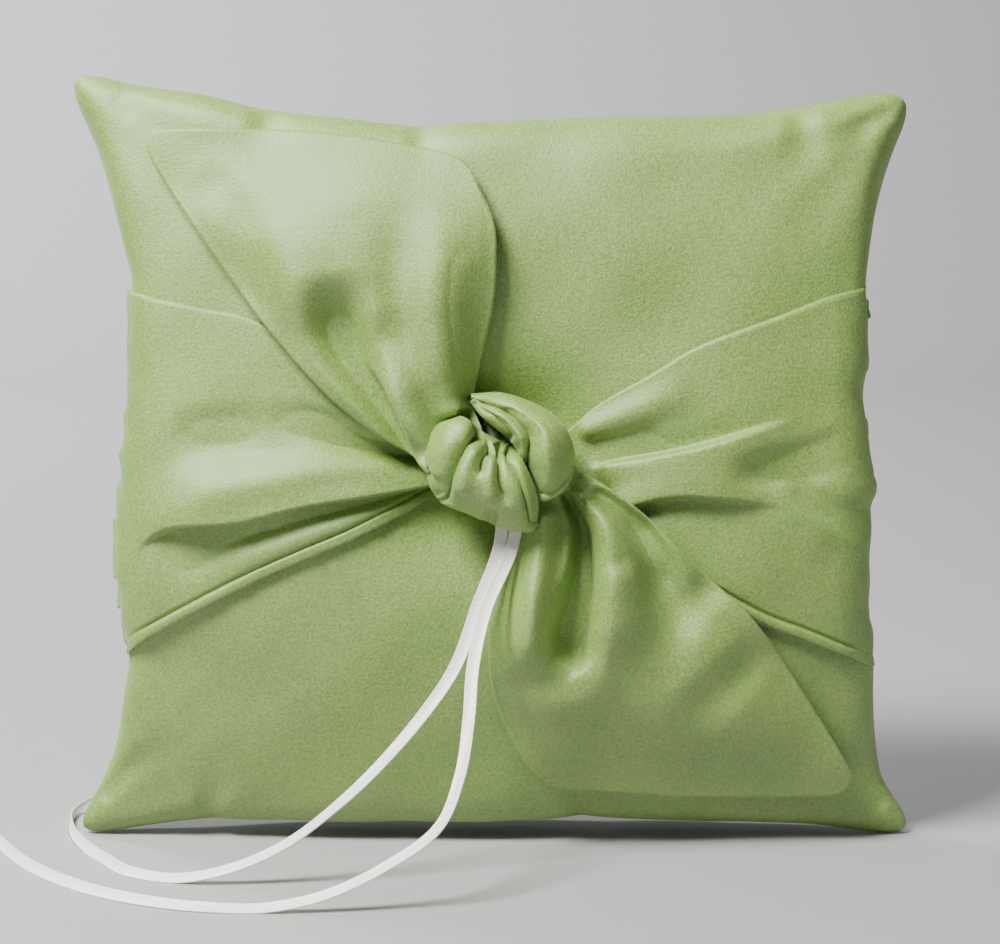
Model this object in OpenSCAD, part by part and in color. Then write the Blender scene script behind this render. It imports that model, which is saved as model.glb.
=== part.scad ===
// Ring bearer cushion: a square satin cushion standing on its two lower ears,
// with a sash sewn into each side seam, tied in a knot at the front, and two
// narrow ribbons for the rings. Millimetres, +Z up, the knot faces -Y.
//
// Soft pieces are laid out flat first, in the cushion's own frame:
// [x, s, n] = [to the right, up the cushion from its lower ears, out of its front].
// stand() then leans the cushion back and sets it on the floor at z = 0.

/* [Cushion] */
// Width from ear to ear
cushion_w = 203; // [160:1:250]
// Height from ear to ear, before the feet are pressed flat
cushion_h = 188; // [155:1:235]
// Thickness at the middle
cushion_t = 60; // [48:1:80]
// How far each side seam draws in halfway between its ears
side_draw = 13; // [8:1:18]
// How far the top seam draws in halfway between its ears
top_draw = 9; // [4:1:14]
// How far the bottom seam draws in halfway between its ears
bottom_draw = 8.5; // [5:0.5:11]
// How much of each lower ear is pressed flat by the floor
foot_press = 3.5; // [2:0.5:4]
// How far the floor spreads each lower ear to the front and to the back
foot_spread = 7; // [5:0.5:10]
// How far the standing cushion leans back, in degrees
lean = 2.5; // [0:0.5:4]

/* [Cloth] */
// Thickness of one layer of underlined satin
cloth_t = 0.8; // [0.6:0.1:1.2]
// Room between two layers that lie on each other
layer_gap = 0.3; // [0.25:0.05:0.6]
// Width of the flat sewn edge all round the cushion
seam_w = 1.6; // [1:0.2:3]
// How deep a sewn edge is pressed into the layer below it
sewn_depth = 0.3; // [0.1:0.05:0.4]

/* [Sash] */
// Width of each sash where it is sewn into the side seam
sash_w = 91; // [70:1:110]
// How far the sash sits below the middle of the side seam
sash_drop = 0; // [-3:0.5:6]
// How far the upper edge of each sash bows up on its way to the knot
sash_bow = 6; // [0:0.5:8]
// Width of the gathered sash where it enters the knot
neck_w = 15; // [12:1:20]
// Thickness of each gathered layer where it enters the knot
gather_t = 2.2; // [1.2:0.2:3]
// Width of a tail where it leaves the knot
tail_neck_w = 22; // [16:1:26]
// Width of a tail along its cut end
tail_end_w = 77; // [60:1:86]
// From the cushion's side to the tail's outer corner
tail_inset_side = 18; // [12:1:26]
// From the cushion's top or bottom ear to the tail's outer corner
tail_inset_end = 16; // [11:1:24]
// How much nearer the knot the upper tail's inner corner is than its outer one
upper_slant = 8; // [0:1:12]
// How much nearer the knot the lower tail's inner corner is than its outer one
lower_slant = 0; // [0:1:12]
// How far the outer edge of a tail bows out
outer_bow = 8; // [0:1:12]
// How far the inner edge of a tail bows out
inner_bow = 4; // [0:1:8]

/* [Knot] */
// Width of the knot
knot_d = 36; // [30:1:42]
// How far the knot draws the cushion's front in
knot_pull = 8; // [4:1:11]
// Height of the knot above the middle of the cushion
knot_rise = 4.5; // [-4:0.5:8]
// How far the knot sits to the right of the middle
knot_side = 2; // [-4:0.5:4]
// Room between the knot and the line that a tail bends about
hinge_gap = 2; // [1.5:0.5:4]
// Angle at which a tail leaves the knot, from the horizontal
tail_angle = 45; // [38:1:52]

/* [Ribbons] */
// Width of a ribbon
ribbon_w = 3; // [2.4:0.1:3.2]

/* [Stitches] */
// Diameter of the sewing thread
thread_d = 0.5; // [0.3:0.1:0.8]
// Distance between two closing stitches
stitch_pitch = 6; // [4:1:10]
// Number of closing stitches
stitch_count = 11; // [5:2:15]

/* [Hidden] */

satin_green = [0.55, 0.66, 0.36];
lining_green = [0.50, 0.61, 0.32];
ribbon_white = [0.95, 0.95, 0.93];
fibre_white = [0.97, 0.97, 0.95];

// Cells across a panel, a sash or tail, and the filling
panel_cells = 28;
strip_cells = 14;
fill_cells = 20;
// How sharply the seams flare out at the ears
flare_power = 2.5;
// Bluntness of the swell towards the sides, the top and the standing base
side_swell = 0.6;
top_swell = 0.6;
base_swell = 0.45;
// Radius of the hollow that the knot pulls into the front
pull_r = 34;
// Share of the cushion's half width and half height that the filling reaches
fill_reach = 0.95;
// Where the floor's spreading of a lower ear begins, as a share of the half width, and how far up it reaches
foot_from = 0.72;
spread_reach = 11;
// Lower than any point
nowhere = -1000;

half_t = cushion_t / 2 - cloth_t;
seam_share_w = 1 - 2 * seam_w / cushion_w;
seam_share_h = 1 - 2 * seam_w / cushion_h;
knot_s = cushion_h / 2 + knot_rise;
knot_r = knot_d / 2;
hinge_r = knot_r + hinge_gap;

// Radius of the line each turn of the knot follows, its thickest half, and how far it arches
turn_r = knot_r * 0.44;
turn_half = knot_r * 0.46;
turn_rise = knot_d * 0.17;
// The knot sits in the hollow, on the gathered sashes
knot_front = half_t - knot_pull + cloth_t;
knot_n = knot_front + 2 * gather_t + knot_d * 0.13;
knot_top = knot_n + turn_rise * 0.55 + turn_half;
// Moves the middle of the cushion's box to the origin
centre_y = (knot_top * cos(lean) - knot_s * sin(lean) - cushion_h / 2 * sin(lean) - cushion_t / 2 * cos(lean)) / 2;

// ---------- the cushion's shape ----------

function flare(t) = 1 - pow(min(1, abs(t)), flare_power);
function half_w(v) = cushion_w / 2 - side_draw * flare(v);
function half_h(u, v) = cushion_h / 2 - (v >= 0 ? top_draw : bottom_draw) * flare(u);
function plan(u, v) = [u * half_w(v), cushion_h / 2 + v * half_h(u, v)];

// Swell from the seam plane to the inside of a panel, at the share [u, v] of the cushion
function bowl(t, power) = pow(max(0, 1 - t * t), power);
function swell(u, v) =
    half_t * bowl(min(1, abs(u) / seam_share_w), side_swell)
           * bowl(min(1, abs(v) / seam_share_h), v >= 0 ? top_swell : base_swell);

// The floor flattens the tips of the lower ears, and their cloth goes to the front and back
function ear_spread(u, v) = let (up = plan(u, v)[1], across = (abs(u) - foot_from) / (seam_share_w - foot_from))
    across <= 0 || across >= 1 || v > 0 ? 0
    : foot_spread * sin(180 * pow(across, 1.4)) * exp(-up * up / (spread_reach * spread_reach));

function hollow(x, s) = knot_pull * exp(-(pow(x - knot_side, 2) + pow(s - knot_s, 2)) / (pull_r * pull_r));
function front_swell(u, v) =
    let (p = plan(u, v), n = swell(u, v)) max(0, n - hollow(p[0], p[1]) * min(1, n / half_t));

// The share [u, v] that lies at the place [x, s]; a few turns bring it within 0.01 mm
function share_at(x, s, u = 0, turns = 4) =
    let (v = (s - cushion_h / 2) / half_h(u, s - cushion_h / 2), w = max(-1, min(1, x / half_w(v))))
    turns == 0 ? [w, max(-1, min(1, v))] : share_at(x, s, w, turns - 1);
function front_at(x, s) = let (q = share_at(x, s)) front_swell(q[0], q[1]) + ear_spread(q[0], q[1]) + cloth_t;

// Leans a point back and sets the cushion on the floor; a point is no lower than asked
function stand(p, lowest = nowhere) = [
    p[0],
    centre_y + p[1] * sin(lean) - p[2] * cos(lean),
    max(lowest, (p[1] - foot_press) * cos(lean) + p[2] * sin(lean))
];

// ---------- building blocks ----------

// A closed solid between two grids of points with the same rows and columns
module slab(low, high) {
    rows = len(low);
    cols = len(low[0]);
    count = rows * cols;
    function at(i, j) = i * cols + j;
    low_points = [for (row = low) each row];
    high_points = [for (row = high) each row];
    low_faces = [for (i = [0 : rows - 2], j = [0 : cols - 2], half = [0, 1])
        half == 0 ? [at(i, j), at(i + 1, j), at(i + 1, j + 1)] : [at(i, j), at(i + 1, j + 1), at(i, j + 1)]];
    rim = concat([for (j = [0 : cols - 1]) at(0, j)], [for (i = [1 : rows - 1]) at(i, cols - 1)],
                 [for (j = [cols - 2 : -1 : 0]) at(rows - 1, j)], [for (i = [rows - 2 : -1 : 1]) at(i, 0)]);
    rim_faces = [for (k = [0 : len(rim) - 1], half = [0, 1])
        let (a = rim[k], b = rim[(k + 1) % len(rim)])
        half == 0 ? [b, b + count, a + count] : [a, b, a + count]];
    high_faces = [for (f = low_faces) [f[2] + count, f[1] + count, f[0] + count]];
    polyhedron(points = concat(low_points, high_points), convexity = 6,
        faces = concat(high_faces, low_faces, rim_faces));
}
function flipped(grid) = [for (i = [len(grid) - 1 : -1 : 0]) grid[i]];

// A round tube with a radius for each point that it follows
module tube(points, radii, sides = 8) {
    last = len(points) - 1;
    function unit(a) = a / norm(a);
    function along(i) = unit(points[min(last, i + 1)] - points[max(0, i - 1)]);
    function carried(i, side) = let (t = along(i)) unit(side - t * (side * t));
    first_side = unit(cross(along(0), abs(along(0)[2]) < 0.9 ? [0, 0, 1] : [1, 0, 0]));
    function sides_from(i, side) = i > last ? [] : let (c = carried(i, side)) concat([c], sides_from(i + 1, c));
    frames = sides_from(0, first_side);
    ring_points = [for (i = [0 : last], k = [0 : sides - 1])
        let (a = 360 * k / sides, side = frames[i], up = cross(along(i), side))
        points[i] + radii[i] * (cos(a) * side + sin(a) * up)];
    walls = [for (i = [0 : last - 1], k = [0 : sides - 1], half = [0, 1])
        let (a = i * sides + k, b = i * sides + (k + 1) % sides)
        half == 0 ? [a, a + sides, b + sides] : [a, b + sides, b]];
    polyhedron(points = ring_points, convexity = 8,
        faces = concat([[for (k = [0 : sides - 1]) k]], walls,
                       [[for (k = [sides - 1 : -1 : 0]) last * sides + k]]));
}

// The points again, with one more between each two on a smooth curve through them
function smooth_route(p) = [for (i = [0 : len(p) - 2])
    let (a = p[max(0, i - 1)], b = p[i], c = p[i + 1], d = p[min(len(p) - 1, i + 2)],
         halfway = (9 * (b + c) - a - d) / 16)
    each i == len(p) - 2 ? [b, halfway, c] : [b, halfway]];

// A straight thread across the layers at a place on the cushion, between two heights out of it
module thread(x, s, from, to) {
    translate(stand([x, s, from])) rotate([90 - lean, 0, 0]) cylinder(d = thread_d, h = to - from, $fn = 24);
}

// ---------- cushion ----------

// Where the cells of a panel or the filling end, from -1 to 1: closer together where the swell is steep
function spaced(t) = sign(t) * (1 - pow(1 - abs(t), 1.75));
// The last cell on each side of a panel is its flat sewn edge
function panel_share(i, seam_share) =
    let (t = 2 * i / panel_cells - 1, inner = 1 - 2 / panel_cells)
    abs(t) > inner + 0.001 ? sign(t) : seam_share * spaced(t / inner);

// A panel's inside or outside surface, on the front (side = 1) or the back (side = -1)
function panel_grid(side, outside) = [for (i = [0 : panel_cells]) [for (j = [0 : panel_cells])
    let (u = panel_share(j, seam_share_w), v = panel_share(i, seam_share_h), p = plan(u, v),
         n = side > 0 ? front_swell(u, v) : swell(u, v),
         spread = outside || i > 1 ? ear_spread(u, v) : 0)
    stand([p[0], p[1], side * (n + spread + (outside ? cloth_t : 0))], outside || i == 0 ? 0 : cloth_t)]];

// The floor presses the outside of each lower ear flat at z = 0
module front_panel() {
    color(satin_green) slab(panel_grid(1, false), panel_grid(1, true));
}

module back_panel() {
    color(satin_green) slab(panel_grid(-1, true), panel_grid(-1, false));
}

function fill_grid(side) = [for (i = [0 : fill_cells]) [for (j = [0 : fill_cells])
    let (u = fill_reach * spaced(2 * j / fill_cells - 1), v = fill_reach * spaced(2 * i / fill_cells - 1),
         p = plan(u, v), n = (side > 0 ? front_swell(u, v) : swell(u, v)) + ear_spread(u, v))
    stand([p[0], p[1], side * max(cloth_t / 2, n * 0.98 - layer_gap)], cloth_t + layer_gap)]];

module filling() {
    color(fibre_white) slab(fill_grid(-1), fill_grid(1));
}

// ---------- sash ----------

// Thickness of a gathered layer at share t from the side seam to the knot, and its height off the cushion
function gathered(t) = cloth_t + (gather_t - cloth_t) * t * t;
function sash_under(t, layer) =
    t == 0 ? layer * (cloth_t - sewn_depth) - sewn_depth : layer_gap + layer * (gathered(t) + layer_gap / 2);

// A sash between the side seam and the knot: side is -1 on the left and 1 on the right
function sash_grid(side, layer, rise) = [for (i = [0 : strip_cells]) [for (j = [0 : strip_cells])
    let (t = pow(i / strip_cells, 1.7), q = 2 * j / strip_cells - 1,
         seam_s = cushion_h / 2 - sash_drop + q * sash_w / 2,
         seam_x = side * (half_w((seam_s - cushion_h / 2) / (cushion_h / 2)) - seam_w / 2),
         knot_x = knot_side + side * knot_r * 0.66, knot_end_s = knot_s + q * neck_w / 2,
         x = seam_x + (knot_x - seam_x) * t,
         s = seam_s + (knot_end_s - seam_s) * t + sash_bow * sin(180 * t) * max(0, q))
    stand([x, s, front_at(x, s) + sash_under(t, layer) + rise * gathered(t)])]];

module sash(side, layer) {
    low = sash_grid(side, layer, 0);
    high = sash_grid(side, layer, 1);
    if (side > 0) slab(low, high);
    else slab(flipped(low), flipped(high));
}

module left_sash_lining() { color(lining_green) sash(-1, 0); }
module left_sash_face() { color(satin_green) sash(-1, 1); }
module right_sash_lining() { color(lining_green) sash(1, 0); }
module right_sash_face() { color(satin_green) sash(1, 1); }

// ---------- tails ----------

// The upper tail leaves the knot up and to the left; the lower one is its copy, turned half round the knot
tail_way = [-cos(tail_angle), sin(tail_angle)];
tail_across = [tail_way[1], -tail_way[0]];
tail_start = tail_way * (hinge_r + layer_gap);
outer_corner = [tail_inset_side - cushion_w / 2, cushion_h / 2 - tail_inset_end];

// Place on a tail, from the knot: share t from the bend line to the cut end, q from the outer to the inner edge
function tail_plan(t, q, slant) =
    let (outer_from = tail_start - tail_across * tail_neck_w / 2,
         inner_from = tail_start + tail_across * tail_neck_w / 2,
         inner_corner = outer_corner + [sqrt(tail_end_w * tail_end_w - slant * slant), -slant],
         outer = outer_from + (outer_corner - outer_from) * t - tail_across * outer_bow * sin(180 * t),
         inner = inner_from + (inner_corner - inner_from) * t + tail_across * inner_bow * sin(180 * t))
    outer + (inner - outer) * (q + 1) / 2;

// The tails lie over both sashes and over the cushion, and never touch them
tail_under = 2 * cloth_t + 4 * layer_gap;
neck_under = 2 * gather_t + 4 * layer_gap;
function tail_rest(t) = tail_under + (neck_under - tail_under) * pow(1 - t, 2);
function tail_grid(turn, slant, layer, rise) = [for (i = [0 : strip_cells]) [for (j = [0 : strip_cells])
    let (t = i / strip_cells, q = 2 * j / strip_cells - 1, p = turn * tail_plan(t, q, slant),
         x = knot_side + p[0], s = knot_s + p[1])
    stand([x, s, front_at(x, s) + tail_rest(t) + layer * (cloth_t + layer_gap / 2) + rise * cloth_t])]];

module tail(turn, slant, layer) {
    slab(flipped(tail_grid(turn, slant, layer, 0)), flipped(tail_grid(turn, slant, layer, 1)));
}

module upper_tail_lining() { color(lining_green) tail(1, upper_slant, 0); }
module upper_tail_face() { color(satin_green) tail(1, upper_slant, 1); }
module lower_tail_lining() { color(lining_green) tail(-1, lower_slant, 0); }
module lower_tail_face() { color(satin_green) tail(-1, lower_slant, 1); }

// The line that each tail bends about: a point on it, its height out of the cushion included
hinge_n = front_at(knot_side + tail_start[0], knot_s + tail_start[1]) + neck_under + 2 * cloth_t + layer_gap;
upper_hinge = stand([knot_side + tail_way[0] * hinge_r, knot_s + tail_way[1] * hinge_r, hinge_n]);
lower_hinge = stand([knot_side - tail_way[0] * hinge_r, knot_s - tail_way[1] * hinge_r, hinge_n]);
hinge_axis = [tail_across[0], tail_across[1] * sin(lean), tail_across[1] * cos(lean)];
echo(upper_hinge = upper_hinge, lower_hinge = lower_hinge, hinge_axis = hinge_axis);

// ---------- knot ----------

// One turn of gathered cloth: it dives under at both ends and is fullest halfway
turn_steps = 14;
module knot_turn(middle, from, to, half) {
    points = [for (i = [0 : turn_steps])
        let (t = i / turn_steps, a = from + (to - from) * t)
        stand([knot_side + middle[0] + turn_r * cos(a), knot_s + middle[1] + turn_r * sin(a),
               knot_n + turn_rise * (sin(180 * t) - 0.45)])];
    tube(points, [for (i = [0 : turn_steps]) half * (0.62 + 0.38 * sin(180 * i / turn_steps))], 12);
}

module knot_left_turn() {
    color(satin_green) knot_turn([-1.5, -1.5], 95, 290, turn_half);
}

module knot_right_turn() {
    color(satin_green) knot_turn([1.5, 1.5], 150, -60, turn_half * 0.92);
}

// ---------- ribbons ----------

// Points that the free ribbons follow, from the knot to their cut ends, in the standing frame
ribbon_left_route = [
    [3, -20, 89], [2, -24, 76], [-3, -28, 63], [-8, -33, 50], [-15, -37, 40], [-25, -41, 29], [-35, -44, 20],
    [-47, -45, 11], [-60, -45, 5], [-73, -43, 2], [-85, -37, 2], [-92, -26, 2], [-99, -13, 2], [-104, 1, 2],
    [-106, 15, 2], [-103, 29, 2], [-95, 41, 2], [-83, 49, 2], [-69, 53, 2], [-55, 52, 2]];
ribbon_right_route = [
    [7, -20, 89], [5, -25, 76], [-1, -32, 63], [-4, -40, 51], [-5, -49, 40], [-7, -57, 29], [-12, -64, 19],
    [-24, -67, 11], [-37, -68, 5], [-51, -68, 2], [-65, -67, 2], [-78, -62, 2], [-90, -54, 2], [-100, -44, 2],
    [-109, -32, 2], [-116, -19, 2], [-122, -6, 2], [-128, 8, 2], [-132, 22, 2], [-134, 36, 2]];

module ribbon(route) {
    points = smooth_route(route);
    color(ribbon_white) tube(points, [for (p = points) ribbon_w / 2]);
}

module ribbon_left() { ribbon(ribbon_left_route); }
module ribbon_right() { ribbon(ribbon_right_route); }

// The two ribbons are one length, folded and tacked under the knot
module ribbon_fold() {
    a = ribbon_left_route[0];
    b = ribbon_right_route[0];
    points = [for (k = [0 : 6])
        (a + b) / 2 + (a - b) / 2 * cos(30 * k) + [0, 1, 2] * norm(b - a) * 0.22 * sin(30 * k)];
    color(ribbon_white) tube(points, [for (p = points) ribbon_w / 2]);
}

// ---------- stitches ----------

// Hand stitches that close the gap in the bottom seam, each through both panels
module closing_stitches() {
    reach = cloth_t + thread_d / 2;
    color(satin_green) for (i = [0 : stitch_count - 1]) {
        x = (i - (stitch_count - 1) / 2) * stitch_pitch;
        thread(x, plan(x / half_w(-1), -1)[1] + seam_w / 2, -reach, reach);
    }
}

// Two tacks that hold the knot down, through it, the ends of both sashes and the front panel
module knot_tack_stitches() {
    color(satin_green) for (side = [-1, 1])
        thread(knot_side + side * knot_r * 0.3, knot_s, knot_front - cloth_t, knot_n);
}

front_panel();
back_panel();
filling();
left_sash_face();
left_sash_lining();
right_sash_face();
right_sash_lining();
knot_left_turn();
knot_right_turn();
upper_tail_face();
upper_tail_lining();
lower_tail_face();
lower_tail_lining();
ribbon_fold();
ribbon_left();
ribbon_right();
closing_stitches();
knot_tack_stitches();
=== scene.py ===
"""Looks of a satin ring bearer pillow: an inflated cushion, a knotted sash with two tails, two ring ribbons.

Lengths in this file are millimetres in the cushion's own frame (x to the right, s up the cushion, n out of
its front), and Stance turns them into the part's frame in metres.
"""

import logging
import math
from collections.abc import Callable, Sequence
from dataclasses import dataclass, field
from enum import Enum

import bpy
import numpy as np
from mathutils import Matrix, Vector
from mathutils.bvhtree import BVHTree


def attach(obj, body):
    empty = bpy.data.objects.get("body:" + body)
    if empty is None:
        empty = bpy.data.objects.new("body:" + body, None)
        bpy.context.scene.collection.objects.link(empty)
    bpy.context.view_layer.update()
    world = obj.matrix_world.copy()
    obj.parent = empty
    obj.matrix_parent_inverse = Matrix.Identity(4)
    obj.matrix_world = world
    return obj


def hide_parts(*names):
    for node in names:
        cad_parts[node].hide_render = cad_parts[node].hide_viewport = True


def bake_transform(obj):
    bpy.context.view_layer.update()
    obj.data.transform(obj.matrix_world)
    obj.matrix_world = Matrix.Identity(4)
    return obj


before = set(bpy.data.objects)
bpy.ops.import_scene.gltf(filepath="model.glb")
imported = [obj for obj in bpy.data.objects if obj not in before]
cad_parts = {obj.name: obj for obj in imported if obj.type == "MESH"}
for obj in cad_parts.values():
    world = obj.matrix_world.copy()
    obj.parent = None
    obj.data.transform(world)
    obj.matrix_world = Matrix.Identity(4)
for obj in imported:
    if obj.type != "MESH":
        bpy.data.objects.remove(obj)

LOG = logging.getLogger("ring_pillow")
MM = 0.001
FLOOR = 0.0
DENSE = 4

Point2 = tuple[float, float]
Point3 = tuple[float, float, float]


# ---------------------------------------------------------------- places and curves


@dataclass(frozen=True)
class Stance:
    """How the cushion stands: leaning back on its two lower ears."""

    lean: float = 2.5
    middle: float = 2.159
    press: float = 3.5

    def place(self, points: np.ndarray) -> np.ndarray:
        """Turns points of the cushion's frame into the part's frame.

        Args:
            points: Array whose last axis is [x, s, n] in millimetres.

        Returns:
            Array of the same shape, in metres, never below the floor.
        """
        turn = math.radians(self.lean)
        x, s, n = points[..., 0], points[..., 1], points[..., 2]
        y = self.middle + s * math.sin(turn) - n * math.cos(turn)
        z = (s - self.press) * math.cos(turn) + n * math.sin(turn)
        return np.stack([x, y, np.maximum(z, FLOOR)], axis=-1) * MM


STANCE = Stance()


def smooth_span(corners: Sequence[np.ndarray], t: np.ndarray) -> np.ndarray:
    """Draws the smooth curve from the second of four corners to the third.

    Args:
        corners: Four points, or four arrays of points, that follow one another.
        t: Shares of the way along, between 0 and 1.

    Returns:
        Point or points at each share.
    """
    a, b, c, d = corners
    return 0.5 * (2 * b + (c - a) * t + (2 * a - 5 * b + 4 * c - d) * t**2 + (3 * b - a - 3 * c + d) * t**3)


def flowing(points: Sequence[Sequence[float]], count: int) -> np.ndarray:
    """Draws a smooth line through points, evenly spaced along its length.

    Args:
        points: Points of any dimension that the line passes through.
        count: Number of points wanted.

    Returns:
        Array of count points.
    """
    given = np.array(points, float)
    if len(given) < 3:
        share = np.linspace(0, 1, count)[:, None]
        return given[0] * (1 - share) + given[-1] * share
    padded = np.vstack([2 * given[0] - given[1], given, 2 * given[-1] - given[-2]])
    steps = 24
    t = np.linspace(0, 1, steps, endpoint=False)[:, None]
    spans = [smooth_span(corners, t) for corners in zip(padded, padded[1:], padded[2:], padded[3:])]
    dense = np.vstack([*spans, given[-1:]])
    length = np.concatenate([[0], np.cumsum(np.linalg.norm(np.diff(dense, axis=0), axis=1))])
    wanted = np.linspace(0, length[-1], count)
    return np.stack([np.interp(wanted, length, dense[:, k]) for k in range(dense.shape[1])], axis=1)


def through_net(net: Sequence[Sequence[Point3]], rows: int, cols: int) -> np.ndarray:
    """Draws a smooth surface through a coarse net of points.

    Args:
        net: Lines of points; each line has as many points.
        rows: Points across the lines.
        cols: Points along each line.

    Returns:
        Array [cols, rows, 3].
    """
    along = np.array([flowing(line, rows) for line in net])
    return np.stack([flowing(along[:, k], cols) for k in range(rows)], axis=1)


def between_edges(left: np.ndarray, right: np.ndarray, first: np.ndarray, last: np.ndarray) -> np.ndarray:
    """Fills the area between four edges.

    Args:
        left: Edge of m points at share 0 across.
        right: Edge of m points at share 1 across.
        first: Edge of k points at share 0 along, from left to right.
        last: Edge of k points at share 1 along, from left to right.

    Returns:
        Array [m, k, dimensions].
    """
    q = np.linspace(0, 1, len(left))[:, None, None]
    p = np.linspace(0, 1, len(first))[None, :, None]
    ruled = left[:, None] * (1 - p) + right[:, None] * p + first[None] * (1 - q) + last[None] * q
    corners = ((left[0] * (1 - p) + right[0] * p) * (1 - q) + (left[-1] * (1 - p) + right[-1] * p) * q)
    return ruled - corners


def ease(value: np.ndarray) -> np.ndarray:
    """Smooth step of a share, held between 0 and 1."""
    t = np.clip(value, 0, 1)
    return t * t * (3 - 2 * t)


def blurred(values: np.ndarray, turns: int) -> np.ndarray:
    """Averages each cell with its neighbours a number of times.

    Args:
        values: Grid of numbers or of points.
        turns: How many times it is averaged.

    Returns:
        Grid of the same size.
    """
    out = values
    for _ in range(turns):
        for axis in (0, 1):
            ends = np.pad(out, [(1, 1) if k == axis else (0, 0) for k in range(out.ndim)], mode="edge")
            low = np.take(ends, range(0, out.shape[axis]), axis)
            high = np.take(ends, range(2, out.shape[axis] + 2), axis)
            out = 0.5 * out + 0.25 * (low + high)
    return out


def grid_normals(grid: np.ndarray) -> np.ndarray:
    """Unit normals of a grid of points, facing the side where columns cross rows to the left."""
    normal = np.cross(np.gradient(grid, axis=1), np.gradient(grid, axis=0))
    return normal / np.maximum(np.linalg.norm(normal, axis=2, keepdims=True), 1e-9)


# ---------------------------------------------------------------- meshes


def grid_faces(rows: int, cols: int, start: int = 0) -> list[tuple[int, int, int, int]]:
    """Quads of a grid of points numbered row by row from start."""
    return [(start + i * cols + j, start + i * cols + j + 1, start + (i + 1) * cols + j + 1,
             start + (i + 1) * cols + j) for i in range(rows - 1) for j in range(cols - 1)]


def new_piece(name: str, points: np.ndarray, faces: Sequence[Sequence[int]],
              material: bpy.types.Material) -> bpy.types.Object:
    """Makes a smooth-shaded mesh object from points in metres.

    Args:
        name: The piece's name.
        points: Array [count, 3] in the part's frame.
        faces: Corner numbers of each face.
        material: Its finish.

    Returns:
        The object, linked to the scene.
    """
    mesh = bpy.data.meshes.new(name)
    mesh.from_pydata(points.reshape(-1, 3).tolist(), [], [tuple(f) for f in faces])
    mesh.polygons.foreach_set("use_smooth", [True] * len(mesh.polygons))
    mesh.materials.append(material)
    mesh.update()
    piece = bpy.data.objects.new(name, mesh)
    bpy.context.scene.collection.objects.link(piece)
    return piece


def cloth_piece(name: str, grid: np.ndarray, thickness: float, material: bpy.types.Material,
                flat_on: bool = False) -> bpy.types.Object:
    """Makes a closed sheet of cloth whose outside is a grid of points.

    Args:
        name: The piece's name.
        grid: Outside points [rows, cols, 3] in the cushion's frame.
        thickness: Thickness of the cloth in millimetres.
        material: Its finish.
        flat_on: Whether the thickness is taken straight into the cushion, which keeps tight corners clean.

    Returns:
        The cloth, closed round its edges.
    """
    rows, cols = grid.shape[:2]
    inward = np.array([0.0, 0.0, 1.0]) if flat_on else grid_normals(grid)
    inside = grid - inward * thickness
    count = rows * cols
    top = grid_faces(rows, cols)
    under = [tuple(reversed(f)) for f in grid_faces(rows, cols, count)]
    rim = ([j for j in range(cols)] + [i * cols + cols - 1 for i in range(1, rows)]
           + [(rows - 1) * cols + j for j in range(cols - 2, -1, -1)]
           + [i * cols for i in range(rows - 2, 0, -1)])
    sides = [(b, a, a + count, b + count) for a, b in zip(rim, rim[1:] + rim[:1])]
    points = STANCE.place(np.vstack([grid.reshape(-1, 3), inside.reshape(-1, 3)]))
    return new_piece(name, points, [*top, *under, *sides], material)


def swept(line: np.ndarray, widths: np.ndarray, section: np.ndarray, across: np.ndarray) -> tuple:
    """Sweeps a closed section along a line.

    Args:
        line: Points [m, 3] of the line.
        widths: Scale of the section at each point.
        section: Points [k, 2] of the section, as shares across and up.
        across: Unit directions [m, 3] in which the section's first axis lies.

    Returns:
        Points [m * k, 3] and faces, with both ends closed.
    """
    along = np.gradient(line, axis=0)
    along /= np.linalg.norm(along, axis=1, keepdims=True)
    side = across - (across * along).sum(1, keepdims=True) * along
    side /= np.linalg.norm(side, axis=1, keepdims=True)
    up = np.cross(side, along)
    points = (line[:, None] + widths[:, None, None]
              * (section[None, :, :1] * side[:, None] + section[None, :, 1:] * up[:, None]))
    m, k = points.shape[:2]
    faces = [(i * k + j, i * k + (j + 1) % k, (i + 1) * k + (j + 1) % k, (i + 1) * k + j)
             for i in range(m - 1) for j in range(k)]
    faces += [tuple(range(k - 1, -1, -1)), tuple((m - 1) * k + j for j in range(k))]
    return points.reshape(-1, 3), faces


# ---------------------------------------------------------------- folds in cloth


class FoldKind(Enum):
    """The ways in which satin bends where it is gathered."""

    RIDGE = "ridge"
    VALLEY = "valley"
    CREASE = "crease"
    LIP = "lip"


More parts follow.
